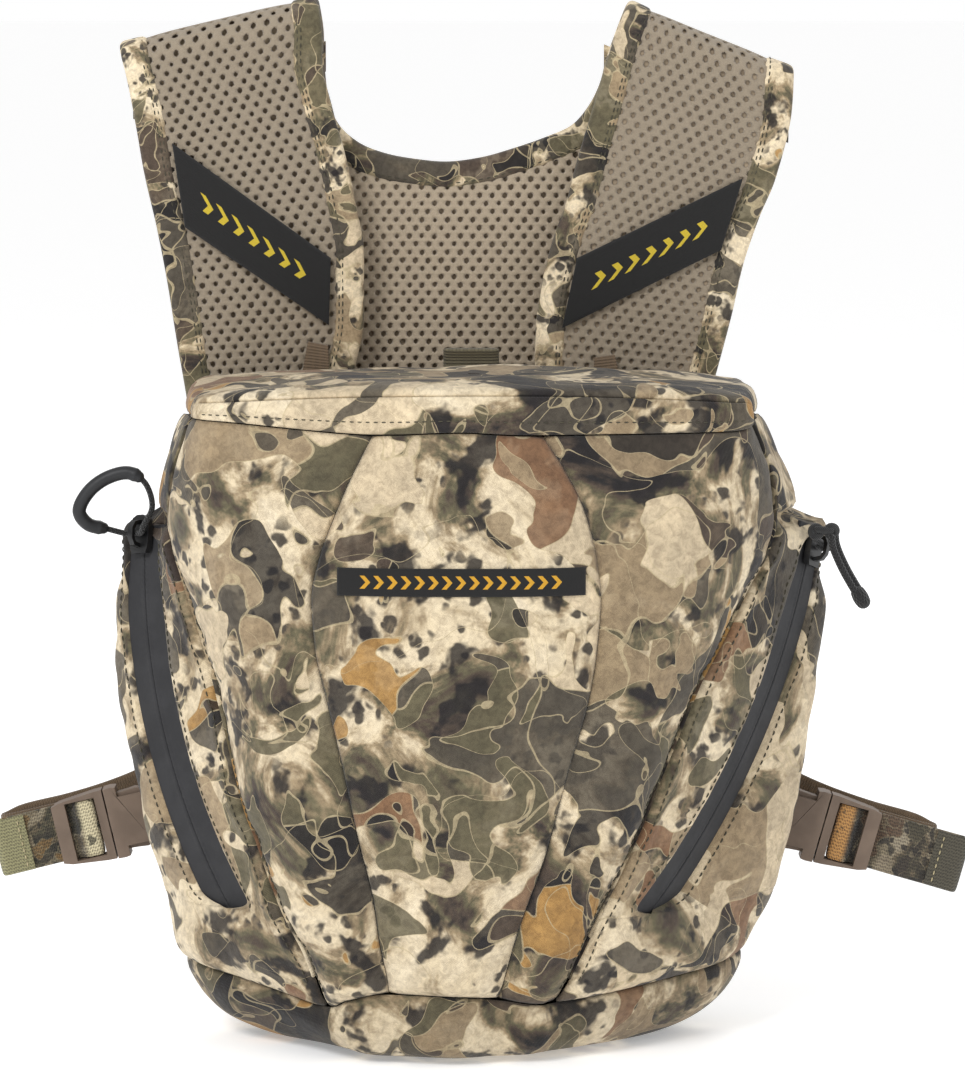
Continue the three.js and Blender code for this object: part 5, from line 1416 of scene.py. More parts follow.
def back_pad():
    lattice("mesh_back_pad", (-104, PAD_LOW, 104, PAD_HIGH),
            lambda u, v: ((u > pad_left(v) + 2.4) & (u < pad_right(v) - 2.4)
                          & (v > 22.4) & (v < 181.5)),
            lambda u, v, depth: np.stack([-u, pad_y(-u, v) + depth, v], -1),
            MESH, thick=0.7, replaces="back_mesh_pad")
    z = np.linspace(21, 183, 60)[:, None]
    left, right = pad_left(z), pad_right(z)
    x = left + 1 + (right - left - 2) * np.linspace(0, 1, 60)[None]
    z = np.broadcast_to(z, x.shape)
    make_grid("mesh_back_backing", np.stack([x, pad_y(x, z) - 2.0, z], -1), BACKING,
              "spacer_mesh", uv_grid(x, z), thick=0.4, core=CORE)
    # the binding runs up the left, over the top, down the right and along the bottom
    z = np.linspace(PAD_LOW, PAD_HIGH, 80)
    top = np.linspace(pad_left(PAD_HIGH), pad_right(PAD_HIGH), 60)[1:-1]
    bottom = np.linspace(pad_right(PAD_LOW), pad_left(PAD_LOW), 50)[1:]
    loop = resample(np.vstack([
        uv_grid(pad_left(z), z), uv_grid(top, float(PAD_HIGH)),
        uv_grid(pad_right(z[::-1]), z[::-1]), uv_grid(bottom, float(PAD_LOW))]), 420)
    strip("binding_back_pad", stand(sideways(loop, 1.2), 2.3), stand(sideways(loop, -4.6), 2.3),
          2.6, CAMO["binding"], "camo_binding", columns=8, rounding=0.5)


back_pad()


# ------------------------------------------------------------------ liner
def liner():
    """The inside lining, from the mouth down and in across the floor."""
    count = 110
    rail = np.linspace(0.02, 13.98, count)
    sides = ((rail <= 4) | (rail >= 10))[:, None]
    rows = []
    for z in np.linspace(200, 30, 60):
        outline = np.where(sides, rail_plan(WALL_RAILS, rail, min(z, 172.0)),
                           rail_plan(BODY_RAILS, rail, z))
        for _ in range(3):
            outline = (np.roll(outline, 1, 0) + 2 * outline + np.roll(outline, -1, 0)) / 4
        inset = 9.4 + 2.4 * (1 - smooth(40, 80, z))
        dx, dy = outline[:, 0], outline[:, 1] + 42
        x = dx * (1 - inset / np.maximum(40, np.hypot(dx, dy)))
        y = -42 + dy * (1 - inset / np.maximum(34, np.abs(dy)))
        rows.append(np.stack([x, y, np.full(count, z)], -1))
    floor_edge = rows[-1].copy()
    floor_edge[:, 0] *= 0.93
    floor_edge[:, 1] = lerp(-42, floor_edge[:, 1], 0.92)
    floor_edge[:, 2] = 12.4
    for scale in (1.0, 0.96, 0.8, 0.5, 0.2, 0.02):
        ring = floor_edge.copy()
        ring[:, 0] *= scale
        ring[:, 1] = lerp(-42, ring[:, 1], scale)
        rows.append(ring)
    grid = np.array(rows)
    outward = unit((grid - vec(0, -42, 0)) * vec(1, 1, 0))
    grid = grid + 0.3 * ripple(71, 15, grid)[..., None] * outward
    make("lining_compartment", grid, grid_faces(len(grid), count, True), LINING, "lining",
         uv=uv_grid(run(grid[0])[None], grid[..., 2]), replaces="compartment_liner",
         thick=0.8, core=CORE)


liner()


# ------------------------------------------------------------------ front label
def front_label():
    """A plain woven band near the top of the front."""
    x = np.linspace(-41, 39, 110)
    heights = np.linspace(156.9, 165.9, 14)
    rails = np.linspace(5.2, 8.8, 500)
    rows = []
    for i, z in enumerate(heights):
        rail = np.interp(x, on_body(rails, z)[:, 0], rails)
        padded = centre_grid[np.clip(np.searchsorted(centre_grid[:, 38, 2], z), 0, 149)]
        y = np.interp(x, padded[:, 0], padded[:, 1])
        along = unit(on_body(rail + 0.02, z) - on_body(rail, z))
        outward = np.stack([along[:, 1], -along[:, 0], 0 * rail], -1)
        lift = 0.75 + 0.15 * math.sin(math.pi * i / 13)
        rows.append(np.stack([x, y, np.full(len(x), z)], -1) + outward * lift)
    grid = np.array(rows)
    grid[..., 1] = smooth_grid(grid, 3)[..., 1]
    make_grid("woven_front_label", grid, LABEL, "woven_band",
              uv_grid((x + 1)[None], (heights - 161.4)[:, None]), replaces="front_label",
              thick=0.9, core=CORE)


front_label()

# ------------------------------------------------------------------ lid
LID_X, LID_Y = 3.0, -44.0                 # middle of the lid
LID_CORE = vec(0, -40, 214)


def lid_rim(rail):
    return top_seam(rail) + 0.5


def frontness(rail):
    """1 across the front, where the lid has an upright band, and 0 round the rest."""
    return smooth(4.2, 4.8, rail) * (1 - smooth(9.2, 9.8, rail))


def lid_top(x):
    return 219.5 + 3.8 * (1 - np.minimum(1, np.abs(x - LID_X) / 92) ** 2)


def lid_crest(x):
    return lid_top(x) - 2.6


def lid_edge(x, rail):
    return lerp(lid_rim(rail), lid_crest(x) - 0.2, frontness(rail))


def collar_at_lid(rail):
    z = np.minimum(lid_rim(rail), 212)
    return at_height(rail_plan(COLLAR_RAILS, rail, z), z)


# Rings from the rim inward: scale in plan, and height from x and rail number.
LID_RINGS = [
    (1.0, lid_edge),
    (0.997, lambda x, rail: lerp(lerp(lid_rim(rail), lid_crest(x), 0.5), lid_crest(x) + 0.4,
                                 frontness(rail))),
    (0.975, lambda x, rail: lid_top(x) - 0.9),
    (0.9, lambda x, rail: lid_top(x)),
    (0.5, lambda x, rail: lid_top(x) + 0.4),
    (0.02, lambda x, rail: 223.8),
]


def lid_skin():
    rings = []
    for scale, height in LID_RINGS:
        ring = collar_at_lid(LOOP_RAILS)
        ring[:, 0] = lerp(LID_X, ring[:, 0], scale)
        ring[:, 1] = lerp(LID_Y, ring[:, 1], scale)
        ring[:, 2] = height(ring[:, 0], LOOP_RAILS)
        back = back_points(ring)
        back[:, 2] = height(back[:, 0], np.zeros(len(back)))
        rings.append(np.vstack([ring, back]))
    bowl("skin_lid_top", rings, 70, CAMO["lid"], thick=2.4, body="lid",
         replaces="lid_top_panel",
         lift=lambda grid, along: (
             0.9 * (1 - np.exp(-along / 14)) - 0.9 * np.exp(-along / 1.6)
             + (0.55 * ripple(81, 24, grid) + 0.25 * ripple(83, 11, grid))
             * smooth(2, 12, along)))


def lid_band():
    """The upright band across the front of the lid."""
    rail = np.linspace(4.2, 9.8, 150)
    t = np.linspace(0, 1, 22)[:, None]
    collar = collar_at_lid(rail)
    x = np.broadcast_to(collar[:, 0], (22, 150))
    z = lerp(lid_rim(rail), lid_edge(collar[:, 0], rail), t)
    bulge = 0.05 + 1.15 * np.abs(np.sin(math.pi * t)) ** 0.8
    y = collar[:, 1] - bulge * np.clip(frontness(rail), 0.05, 1)
    grid = np.stack([x, y, z], -1)
    normals = grid_normals(grid, LID_CORE)
    wrinkles = 0.15 * ripple(91, 12, grid) * np.sin(np.pi * t)
    grid = grid + normals * wrinkles[..., None]
    make_grid("skin_lid_band", grid, CAMO["lid"], "camo_fabric_dark", grid[..., [0, 2]],
              body="lid", replaces="lid_front_band", thick=2.0, core=LID_CORE)
    out = normals[7][16:-16]
    stitches("lid", grid[7][16:-16] - out * 0.05, out)


def lid_pull():
    """An upright webbing tab at the back of the lid."""
    path = spline([vec(2, -3.0, 210.6), vec(2, -2.6, 216), vec(2, -2.5, 221),
                   vec(2, -3.2, 226), vec(2, -5.2, 229.2)], 40)
    half = vec(9.5, 0, 0)
    strip("webbing_lid_pull", path - half, path + half, 1.7, PULL_WEBBING, "camo_webbing",
          columns=10, rounding=0.25, body="lid", replaces="lid_pull_tab")


lid_skin()
lid_band()
lid_pull()

# ------------------------------------------------------------------ shoulder straps
# Outer and inner edges in front view, rows z, x, and the height of each edge's fold.
STRAPS = {
    "left": SimpleNamespace(
        outer=table((186, -92), (211, -95.5), (230.4, -98.7), (252, -102), (269.4, -105.2),
                    (288.8, -109.5), (304.4, -112.1), (321.6, -115.3), (331, -117.8)),
        inner=table((186, -46), (200, -42.5), (219.7, -38.5), (238.9, -34.7), (260.8, -34.6),
                    (278.2, -37.3), (293.8, -40.6), (310.1, -45), (327.4, -48.6),
                    (334.5, -48.4), (346.9, -49.9)),
        outer_top=330.6, inner_top=346.6),
    "right": SimpleNamespace(
        outer=table((186, 77), (200, 80.5), (218.7, 85.5), (240.3, 91.1), (257.1, 94.8),
                    (273.1, 100.1), (287.1, 105.8), (310.1, 111.1), (322.3, 111.8)),
        inner=table((186, 25), (205, 24), (222.5, 23.6), (235.5, 24), (249.6, 25.8),
                    (267.3, 30.2), (277.5, 34), (291.5, 37.6), (310.1, 43.1), (328.7, 48.6),
                    (345.6, 54.8)),
        outer_top=322.6, inner_top=345.4),
}
STRAP_FOOT = 187
STRAP_Y, YOKE_Y = 3.5, 16.4               # the strap before and after its fold
FOLD_RADIUS, FOLD_Y = (YOKE_Y - STRAP_Y) / 2, (STRAP_Y + YOKE_Y) / 2
FOLD_DROP = 12.0                          # how far it comes down behind the fold
FOLD_START, FOLD_END = 0.72, 0.9          # shares of the strap's parameter
MESH_WIDTH = 50.0                         # width of the strap's mesh pattern
BINDING_WIDTH = 10.0
ALONG = np.concatenate([np.linspace(0, FOLD_START, 150)[:-1],
                        np.linspace(FOLD_START, FOLD_END, 40)[:-1],
                        np.linspace(FOLD_END, 1.0, 14)])


def strap_point(strap, across, along, lift=0.0):
    """A strap point: across from outer 0 to inner 1, along from foot 0 over the fold to 1."""
    across, along, lift = np.broadcast_arrays(
        np.asarray(across, float), np.asarray(along, float), np.asarray(lift, float))
    fold_z = lerp(strap.outer_top, strap.inner_top, across) - FOLD_RADIUS
    turn = np.clip((along - FOLD_START) / 0.18, 0, 1) * np.pi
    before, folding = along < FOLD_START, along <= FOLD_END
    y = np.where(before, STRAP_Y, np.where(folding, FOLD_Y - FOLD_RADIUS * np.cos(turn), YOKE_Y))
    z = np.where(before, lerp(STRAP_FOOT, fold_z, along / FOLD_START),
                 np.where(folding, fold_z + FOLD_RADIUS * np.sin(turn),
                          lerp(fold_z, fold_z - FOLD_DROP, (along - FOLD_END) / 0.1)))
    x = lerp(strap.outer(np.minimum(z, strap.outer_top + 1)), strap.inner(z), across)
    normal_y = np.where(before, -1.0, np.where(folding, -np.cos(turn), 1.0))
    normal_z = np.where((along > FOLD_START) & (along < FOLD_END), np.sin(turn), 0.0)
    return np.stack([x, y + normal_y * lift, z + normal_z * lift], -1)


def shoulder_strap(side):
    strap = STRAPS[side]
    length = run(strap_point(strap, 0.5, ALONG))
    width = np.linalg.norm(strap_point(strap, 1.0, ALONG) - strap_point(strap, 0.0, ALONG), axis=1)

    def binding_share(along):
        return BINDING_WIDTH / np.interp(along, ALONG, width)

    def mesh(name, front, material, thick, **piece):
        def place(u, v, depth):
            along = np.interp(v, length, ALONG)
            margin = binding_share(along) * 0.72
            share = u / MESH_WIDTH if front == (side == "left") else 1 - u / MESH_WIDTH
            crown = 0.9 * (1 - (2 * u / MESH_WIDTH - 1) ** 4)
            lift = 1.5 + crown + depth if front else -(2.3 + depth)
            return strap_point(strap, margin + (1 - 2 * margin) * share, along, lift)
        lattice(name, (0, 0, MESH_WIDTH, length[-1]),
                lambda u, v: ((u > 1.0) & (u < MESH_WIDTH - 1.0)
                              & (v > 1.5) & (v < length[-1] - 1.5)),
                place, material, thick, **piece)

    mesh(f"mesh_{side}_strap", True, MESH, 0.7, replaces=f"{side}_strap_mesh")
    along = ALONG[::3, None]
    margin = binding_share(along) * 0.5
    slab = strap_point(strap, margin + (1 - 2 * margin) * np.linspace(0, 1, 24), along, -0.4)
    make_grid(f"mesh_{side}_strap_backing", slab, BACKING, "spacer_mesh", slab[..., [0, 2]],
              thick=1.3)
    # the rear face uses the mesh painted lighter, as painted light
    mesh(f"mesh_{side}_strap_rear", False, PAINTED_LIGHT_MESH, 0.5)
    # a band across the strap's end, where it meets the yoke
    end = strap_point(strap, np.linspace(-0.01, 1.01, 40), 1.0)
    low, high = end + vec(0, 1.9, -5.5), end + vec(0, 1.9, 5.0)
    strip(f"binding_{side}_strap_joint", low, high, 2.6, CAMO["binding"], "camo_binding")
    for share in (0.14, 0.86):
        stitches("binding", low + (high - low) * share + vec(0, 1.0, 0), vec(0, 1, 0))
    # edge bindings, each with two rows of stitches at shares of its width
    wide = binding_share(ALONG)
    for edge, start, stop, seed, rows in (("outer", 0 * wide, wide, 101, (0.84, 0.72)),
                                          ("inner", 1 - wide, 0 * wide + 1, 103, (0.16, 0.28))):
        a, b = strap_point(strap, start, ALONG), strap_point(strap, stop, ALONG)
        out = strip(f"binding_{side}_strap_{edge}", a, b, 5.0, CAMO["binding"], "camo_binding",
                    lift=ripple(seed, 9, a) * 0.18, replaces=f"{side}_strap_{edge}_binding")
        if out[:100, 1].mean() > 0:
            out = -out
        for share, part, lift in zip(rows, (slice(2, None), slice(2, 150)), (2.05, 2.35)):
            line = a + (b - a) * share
            stitches("binding", line[part] + out[part] * lift, out[part])


shoulder_strap("left")
shoulder_strap("right")


# ------------------------------------------------------------------ bands and tapes on the straps
def flat_band(name, corners, material, replaces, slot):
    """A flat piece on the front of the straps; corners (x, z) go round it from a long edge."""
    a, b, c, d = (np.array(corner, float) for corner in corners)
    t, s = np.linspace(0, 1, 70)[:, None], np.linspace(0, 1, 16)[:, None]
    flat = lerp(lerp(a, b, t)[None], lerp(d, c, t)[None], s[..., None])
    length = (np.linalg.norm(b - a) + np.linalg.norm(c - d)) / 2
    height = (np.linalg.norm(d - a) + np.linalg.norm(c - b)) / 2
    grid = stand(flat, -0.7)
    grid[..., 1] -= 0.25 * np.sin(np.pi * s)
    make_grid(name, grid, material, slot, uv_grid((t.T - 0.5) * length, (s - 0.5) * height),
              replaces=replaces, thick=0.8, core=vec(0, 40, 250))


for side, corners in (("left", [(-95.5, 270.5), (-46.6, 237.1), (-45.8, 260), (-99.6, 299)]),
                      ("right", [(33, 236.1), (87.1, 262.7), (94.4, 287.2), (38, 260)])):
    flat_band(f"woven_{side}_band", corners, STRAP_BAND, f"{side}_strap_band", "woven_band")
for side, corners in (("left", [(-57.4, 212), (-46.0, 212), (-46.9, 230.3), (-53.8, 231.6)]),
                      ("right", [(43.5, 212), (54.5, 212), (51, 227), (44, 226)])):
    flat_band(f"tape_{side}_foot", corners, RUN_WEBBING, f"{side}_anchor_tape", "tan_webbing")


# ------------------------------------------------------------------ yoke
def strap_end(side, edge):
    """Where an edge of the yoke starts, at the lower end of a folded strap: (x, z)."""
    strap = STRAPS[side]
    z = getattr(strap, f"{edge}_top") - FOLD_RADIUS - FOLD_DROP - 0.4
    return [getattr(strap, edge)(z), z]


# Outlines in front view, (x, z). The edge goes down the left, across and up the right.
YOKE_EDGE = spline([
    strap_end("left", "outer"), [-104, 285], [-96, 250], [-88, 215], [-84, 185], [-81, 160],
    [-77.5, 146], [-66, 133], [-56, 129.5],
    [56, 129.5], [66, 133], [77, 146], [80, 160], [82, 185], [85, 215], [93, 250], [104, 282],
    strap_end("right", "outer")], 420)
YOKE_NECK = spline([
    strap_end("left", "inner"), [-46.5, 312], [-43.2, 304.6], [-36.4, 298.6], [-27.3, 295.0],
    [-15.6, 292.9], [-6, 292.2], [6, 293.8], [15.3, 296.4], [27, 300.4], [36.6, 304.8],
    [42.4, 311.6], [46, 319], strap_end("right", "inner")], 200)
YOKE_OUTLINE = np.vstack([sideways(YOKE_EDGE, 4.5), sideways(YOKE_NECK, -4.5)[::-1]])
YOKE_BOX = (-125, 128, 125, 336)


def inside_yoke(x, z):
    x1, z1 = YOKE_OUTLINE.T
    x2, z2 = np.roll(x1, -1), np.roll(z1, -1)
    x, z = x[:, None], z[:, None]
    rise = np.where(np.abs(z2 - z1) < 1e-9, 1e-9, z2 - z1)
    crosses = ((z1 > z) != (z2 > z)) & (x < (x2 - x1) * (z - z1) / rise + x1)
    return crosses.sum(1) % 2 == 1


def yoke_sag(x, z):
    return 0.8 * np.sin(x / 31.0) * np.sin(z / 27.0) * 0.4


def yoke():
    lattice("mesh_yoke_rear", YOKE_BOX, lambda u, v: inside_yoke(-u, v),
            lambda u, v, depth: np.stack([-u, 18.0 + yoke_sag(-u, v) + depth, v], -1),
            MESH, thick=0.6, replaces="yoke_mesh")
    # the front face, towards the pack, uses the mesh painted lighter, as painted light
    lattice("mesh_yoke_front", YOKE_BOX, lambda u, v: inside_yoke(u, v) & (v > 196),
            lambda u, v, depth: np.stack([u, 14.7 + yoke_sag(u, v) - depth, v], -1),
            PAINTED_LIGHT_MESH, thick=0.6)
    # a backing of square cells between the two faces
    cell = 3.0
    x, z = np.meshgrid(np.arange(-120, 120, cell), np.arange(130, 336, cell))
    x, z = x.ravel(), z.ravel()
    kept = inside_yoke(x + cell / 2, z + cell / 2)
    square = np.array([[0, 0], [cell, 0], [cell, cell], [0, cell]])
    corners = (np.stack([x[kept], z[kept]], -1)[:, None] + square).reshape(-1, 2)
    first, inverse = merge(np.round(corners * 10).astype(int))
    make("mesh_yoke_backing", stand(corners[first], 16.7), inverse.reshape(-1, 4), BACKING,
         "spacer_mesh", uv=corners[first], thick=0.7)
    for name, line, inward, replaces in (("edge", YOKE_EDGE, 10.0, "yoke_edge_binding"),
                                         ("neck", YOKE_NECK, -9.0, "neck_binding")):
        a, b = stand(line, YOKE_Y), stand(sideways(line, inward), YOKE_Y)
        strip(f"binding_yoke_{name}", a, b, 5.0, CAMO["binding"], "camo_binding",
              replaces=replaces)
        row = (a + (b - a) * 0.82)[2:-2]
        for facing in (-1, 1):
            stitches("binding", row + vec(0, facing * 2.1, 0), vec(0, facing, 0))


yoke()

# ------------------------------------------------------------------ buckle webbing
# Each buckle's middle and its slope down and out, the length of its tail, and how far out the
# long run of webbing turns back.
BUCKLES = {
    "left": SimpleNamespace(centre=vec(-122.6, 0, 64.8), slope=13.0, tail=38.6, turn=36),
    "right": SimpleNamespace(centre=vec(123.0, 0, 63.4), slope=15.5, tail=49, turn=38),
}
# Paths through the buckle: distance outward along it, then depth in y.
ANCHOR_PATH = [(-37.5, 1.3), (-30, 1.45), (-26.2, 3.4), (-24.2, 4.95), (-22.0, 5.2),
               (-19.6, 4.6), (-18.7, 2.2), (-18.7, -2.2), (-19.6, -4.6), (-22.0, -5.2),
               (-24.6, -4.7)]
TAIL_PATH = [(14.4, 3.1), (11.0, 3.35), (7.9, 3.3), (5.4, 2.5), (4.95, 0), (5.5, -1.9),
             (7.9, -2.25), (10.3, -1.9), (11.2, -0.4), (12.4, 0.7), (14.5, 1.25),
             (19.5, 1.2), (28, 0.4)]
# The hem's distances are from the end of the tail.
HEM_PATH = [(0.6, 0.3), (1.6, -0.9), (0.4, -2.2), (-4, -2.0), (-9.5, -1.4)]


def web(name, path, across, material, slot, width=20.0, thick=1.6, count=160, **piece):
    """Flat webbing along a path; across is its width direction, or one for each path point."""
    path = np.asarray(path, float)
    across = np.broadcast_to(across, path.shape)
    line = spline(path, count)
    rough, fine = run(path), run(line)
    across = unit(interp_points(fine / fine[-1], rough / rough[-1], across))
    strip(name, line - across * width / 2, line + across * width / 2, thick, material, slot,
          columns=12, rounding=0.2, **piece)


def buckle_webbing(side):
    buckle, sign = BUCKLES[side], SIGN[side]
    slope = math.radians(buckle.slope)
    out = vec(sign * math.cos(slope), 0, -math.sin(slope))
    across = vec(sign * math.sin(slope), 0, math.cos(slope))

    def at(u, v, depth):
        return buckle.centre + out * u + across * v + vec(0, depth, 0)

    def along(path):
        return [at(u, 0, depth) for u, depth in path]

    plug, tail = f"{side}_plug", buckle.tail
    web(f"web_{side}_anchor", along(ANCHOR_PATH), across, ANCHOR_WEBBING[side], "tan_webbing",
        replaces=f"{side}_anchor_webbing")
    web(f"web_{side}_tail", along(TAIL_PATH + [(tail, -0.4)]), across, TAIL_WEBBING[side],
        "camo_webbing", thick=1.5, body=plug, replaces=f"{side}_tail_webbing")
    web(f"web_{side}_tail_hem", along([(tail + u, depth) for u, depth in HEM_PATH]), across,
        TAIL_WEBBING[side], "camo_webbing", width=19.6, thick=1.2, count=50, v_start=70,
        body=plug)
    stitches(f"{side}_tail", [at(tail - 7.2, v, -2.4) for v in np.linspace(-8.6, 8.6, 12)],
             vec(0, -1, 0))
    # the run: out behind the buckle, back on itself, then a Bezier curve up to the back
    turn = buckle.turn
    path = along([(13, 6.4), (20, 6.4), (turn - 4, 6.2), (turn, 7.2), (turn + 1.6, 9.6),
                  (turn, 12.2)]) + [at(turn - 5, 1, 13.2)]
    directions = [across] * len(path)
    p0, p3 = path[-1], vec(sign * 67, 19.8, 147.0)
    p1, p2 = p0 - out * 66, p3 + vec(sign * 10, 0, -60)
    for i in range(1, 11):
        t = i / 10
        s = 1 - t
        path.append(s ** 3 * p0 + 3 * s ** 2 * t * p1 + 3 * s * t * t * p2 + t ** 3 * p3)
        tangent = 3 * s ** 2 * (p1 - p0) + 6 * s * t * (p2 - p1) + 3 * t * t * (p3 - p2)
        direction = unit(vec(tangent[2], 0, -tangent[0]))
        directions.append(-direction if direction @ directions[-1] < 0 else direction)
    web(f"web_{side}_run", path, directions, RUN_WEBBING, "tan_webbing",
        replaces=f"{side}_run_webbing")


buckle_webbing("left")
buckle_webbing("right")


# ------------------------------------------------------------------ hard pieces of the CAD
def finish_cad(names, material, bevel):
    """Gives loaded pieces a material and edges rounded by bevel mm."""
    for name in names:
        piece = NODES[name]
        piece.data.materials.clear()
        piece.data.materials.append(material)
        piece.modifiers.new("Weld", "WELD").merge_threshold = 2e-5
        rounding = piece.modifiers.new("Bevel", "BEVEL")
        rounding.width = bevel * MM
        rounding.segments = 2
        rounding.limit_method = "ANGLE"
        rounding.angle_limit = 32 * (math.pi / 180)
        polygons = piece.data.polygons
        polygons.foreach_set("use_smooth", np.ones(len(polygons), bool))
        piece.modifiers.new("Smooth", "WEIGHTED_NORMAL").keep_sharp = True


finish_cad([f"{side}_{part}" for side in SIGN
            for part in ("buckle_socket", "buckle_plug", "prong_upper", "prong_lower")],
           BUCKLE, bevel=0.5)
finish_cad(["left_zip_slider", "right_zip_slider"], SLIDER, bevel=0.35)
finish_cad(["lid_magnet_left", "lid_magnet_right", "back_magnet_left", "back_magnet_right"],
           MAGNET, bevel=0.4)
finish_cad(["lid_stiffener"], FOAM, bevel=0.4)
finish_cad(["lid_lining"], LINING, bevel=0.5)

# ------------------------------------------------------------------ zip pulls
PIN = 4.0                                 # height of the slider's pin above the zip


def slider_frame(side, z):
    """at(along, across, lift) on the slider, and near(x, y, z) measured from its pin."""
    zipper = ZIPS[side]
    angle = zip_angle(zipper, z)
    origin = zip_point(zipper, angle)
    along = unit(zip_point(zipper, angle + 0.001) - origin)
    across = unit(zip_point(zipper, angle, 1.0) - origin)
    normal = unit(zip_point(zipper, angle, 0.0, 1.0) - origin)

    def at(u, v, lift):
        return origin + along * u + across * v + normal * lift

    def near(*offset):
        return at(0, 0, PIN) + vec(*offset)
    return at, near


def left_pull():
    """A closed loop, mostly inside a rubber tube, with cord where it passes the pin."""
    at, near = slider_frame("left", 168.5)
    knots = [at(0, 0, PIN), at(0, 3.4, PIN + 0.2), near(-9.5, -0.6, 1.6), near(-15.8, -2.2, 3.4),
             near(-18.6, -3.4, 7.8), near(-15.4, -3.6, 14.4), near(-9.0, -3.6, 19.2),
             near(-1.6, -3.8, 20.8), near(3.6, -4.6, 17.6), near(6.0, -5.0, 9.6),
             at(1.6, -4.6, PIN + 1.2), at(0, -2.6, PIN + 0.1)]
    steps = 1200
    loop = spline(knots, steps + 1, closed=True)

    def share(knot):
        return np.argmin(np.linalg.norm(loop[:-1] - knot, axis=1)) / steps

    def part(start, end, count):
        index = np.round(np.linspace(start, end, 600) * steps).astype(int) % steps
        return resample(loop[index], count)
    start, end = share(knots[2]) + 0.02, share(knots[8]) - 0.04
    radius = np.full(60, 2.3)
    radius[:4] = [2.0, 2.25, 2.42, 2.35]
    radius[-4:] = radius[3::-1]
    tube_piece("rubber_left_pull", part(start, end, 60), radius, 20, RUBBER, "pull_rubber",
               body="left_pull", replaces="left_pull_tube")
    tube_piece("cord_left_pull", part(end - 0.012, 1 + start + 0.012, 90), 0.98, 14, CORD,
               "cord", body="left_pull", replaces="left_pull_cord")


def right_pull():
    """Two small loops of cord side by side, a doubled tail and a rounded end."""
    at, near = slider_frame("right", 164.5)
    loop_a, loop_b = near(-2.2, -7.2, 6.4), near(3.0, -6.9, 6.6)
    turn = np.linspace(0, 2 * np.pi, 61)

    def loop(centre, tilt):
        return centre + np.stack([1.55 * np.cos(turn), 0.55 * np.sin(turn + tilt),
                                  1.55 * np.sin(turn)], -1)
    lead = spline([at(0, -2.6, PIN), at(0, 0, PIN), at(0, 2.4, PIN), at(0.4, 3.8, PIN + 1.0),
                   loop_a + vec(-0.6, 1.6, -2.2), loop_a + vec(-0.4, 0.4, -1.0)], 44)
    bridge = spline([loop_a + vec(0.4, -0.9, 0.8), (loop_a + loop_b) / 2 + vec(0, -1.1, 0.6),
                     loop_b + vec(-0.4, -0.9, 0.2)], 16)
    points, faces = join([tube(loop(loop_a, 0.6), 1.3, 14), tube(loop(loop_b, 2.4), 1.3, 14),
                          tube(lead, 0.8, 12), tube(bridge, 1.2, 12)])
    make("cord_right_knot", points, faces, CORD, "cord", uv=points[:, [0, 2]] * 2,
         body="right_pull", replaces="right_pull_knot")
    tail = spline([loop_b + vec(0.6, -0.2, -1.6), near(4.2, -6.3, 1.4), near(7.4, -6.1, -6.0),
                   near(12.0, -5.6, -14.0), near(13.0, -5.5, -15.6)], 70)
    beside = side_vectors(tail)[2] * 1.2
    around = 12
    points, faces = join([tube(tail + beside, 1.27, around), tube(tail - beside, 1.27, around)])
    rows = len(points) // 2 // around
    uv = uv_grid(np.arange(around) / around * 6.0, np.linspace(0, 26, rows)[:, None])
    make("cord_right_pull", points, faces, CORD, "cord", uv=np.tile(uv.reshape(-1, 2), (2, 1)),
         body="right_pull", replaces="right_pull_cord")
    end = spline([near(12.3, -5.6, -14.6), near(13.2, -5.5, -16.2), near(13.9, -5.4, -17.4)], 16)
    tube_piece("rubber_right_end", end, 2.45 + 0.2 * np.sin(np.linspace(0.3, np.pi * 0.9, 16)),
               18, CORD, "pull_rubber", body="right_pull", replaces="right_pull_end")


left_pull()
right_pull()
build_threads()


# ------------------------------------------------------------------ studio, in metres
def aim(thing, location, target):
    thing.location = location
    direction = Vector(target) - Vector(location)
    thing.rotation_euler = direction.to_track_quat("-Z", "Y").to_euler()


def area_light(name, location, target, size, power):
    light = bpy.data.lights.new(name, "AREA")
    light.energy = power
    light.size = size
    lamp = bpy.data.objects.new(name, light)
    scene.collection.objects.link(lamp)
    aim(lamp, location, target)


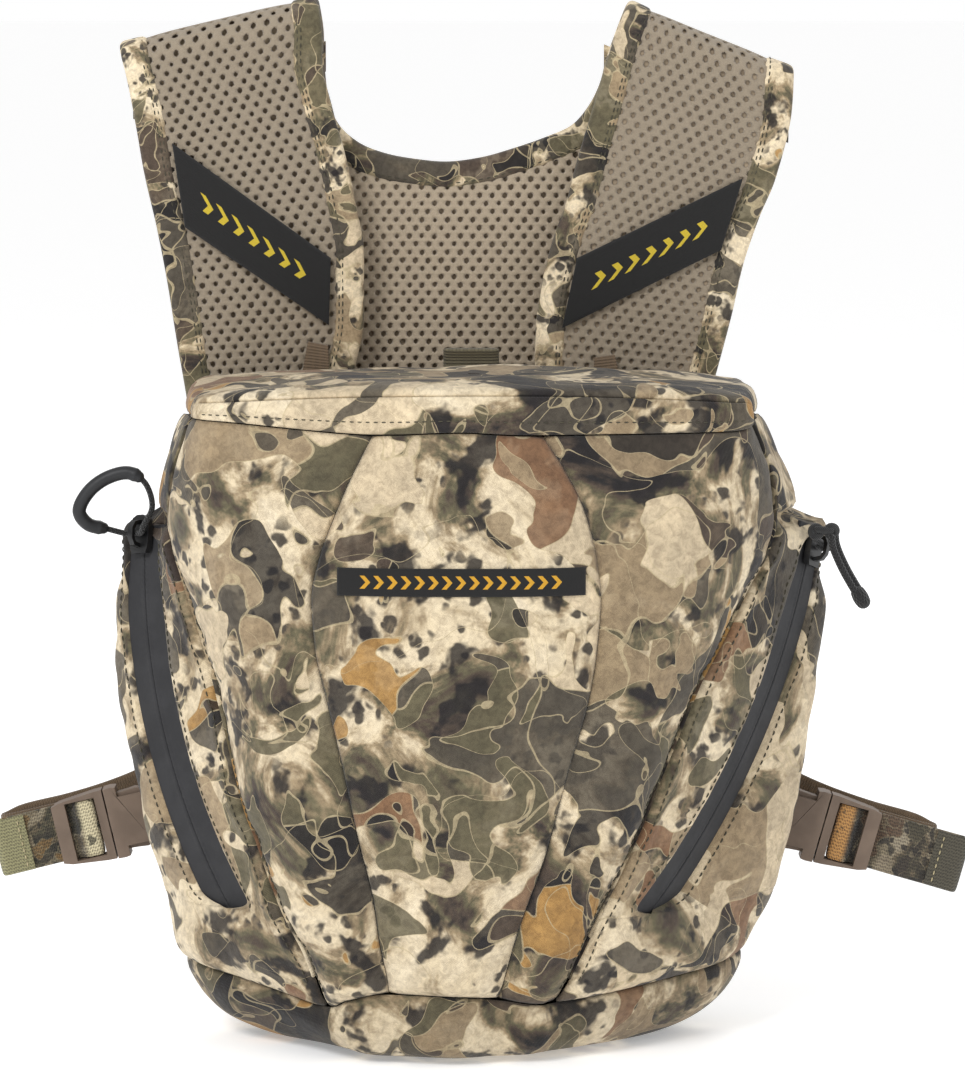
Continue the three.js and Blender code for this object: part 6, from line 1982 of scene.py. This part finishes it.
def paper_floor(half=90, z=-0.0015):
    mesh = bpy.data.meshes.new("floor")
    corners = [(-half, -half, z), (half, -half, z), (half, half, z), (-half, half, z)]
    mesh.from_pydata(corners, [], [(0, 1, 2, 3)])
    floor = bpy.data.objects.new("floor", mesh)
    scene.collection.objects.link(floor)
    shader = Shader("floor_paper", rough=0.9, specular=0.1)
    blotch = shader.noise(shader.mm, scale=0.02, detail=3.0)
    shader.set("Base Color", shader.mix(blotch, srgb(252, 252, 252), srgb(254, 254, 254)))
    shader.set("Emission Color", (1, 1, 1, 1))
    shader.set("Emission Strength", 0.27)
    mesh.materials.append(shader.material)


def white_world(lighting=0.72, seen=1.0):
    """A white surround whose strength differs between lighting the scene and being seen."""
    world = bpy.data.worlds.new("studio")
    scene.world = world
    world.use_nodes = True
    nodes, links = world.node_tree.nodes, world.node_tree.links
    background = nodes["Background"]
    background.inputs[0].default_value = (1, 1, 1, 1)
    rays = nodes.new("ShaderNodeLightPath")
    strength = nodes.new("ShaderNodeMix")
    links.new(rays.outputs["Is Camera Ray"], strength.inputs[0])
    strength.inputs[2].default_value = lighting
    strength.inputs[3].default_value = seen
    links.new(strength.outputs[0], background.inputs[1])


def add_camera(x=0.00583, y=-1.53382, z=0.35080, target_y=-0.045, target_z=0.168):
    """The camera in front of the bag; y values are in the drawn frame."""
    lens = bpy.data.cameras.new("camera")
    lens.lens = 149.446
    lens.sensor_width = 36
    lens.sensor_fit = "AUTO"
    lens.clip_end = 50
    camera = bpy.data.objects.new("camera", lens)
    scene.collection.objects.link(camera)
    shift = DRAWN_TO_PART_Y * MM
    aim(camera, (x, y + shift, z), (x, target_y + shift, target_z))
    scene.camera = camera


paper_floor()
white_world()
area_light("key", location=(-0.9, -1.5, 1.5), target=(0, 0, 0.15), size=0.7, power=23)
area_light("fill", location=(1.3, -1.1, 0.7), target=(0, 0, 0.15), size=1.2, power=3)
area_light("rim", location=(0.3, 1.4, 1.2), target=(0, 0, 0.2), size=1.0, power=7)
scene.view_settings.view_transform = "Standard"
add_camera()
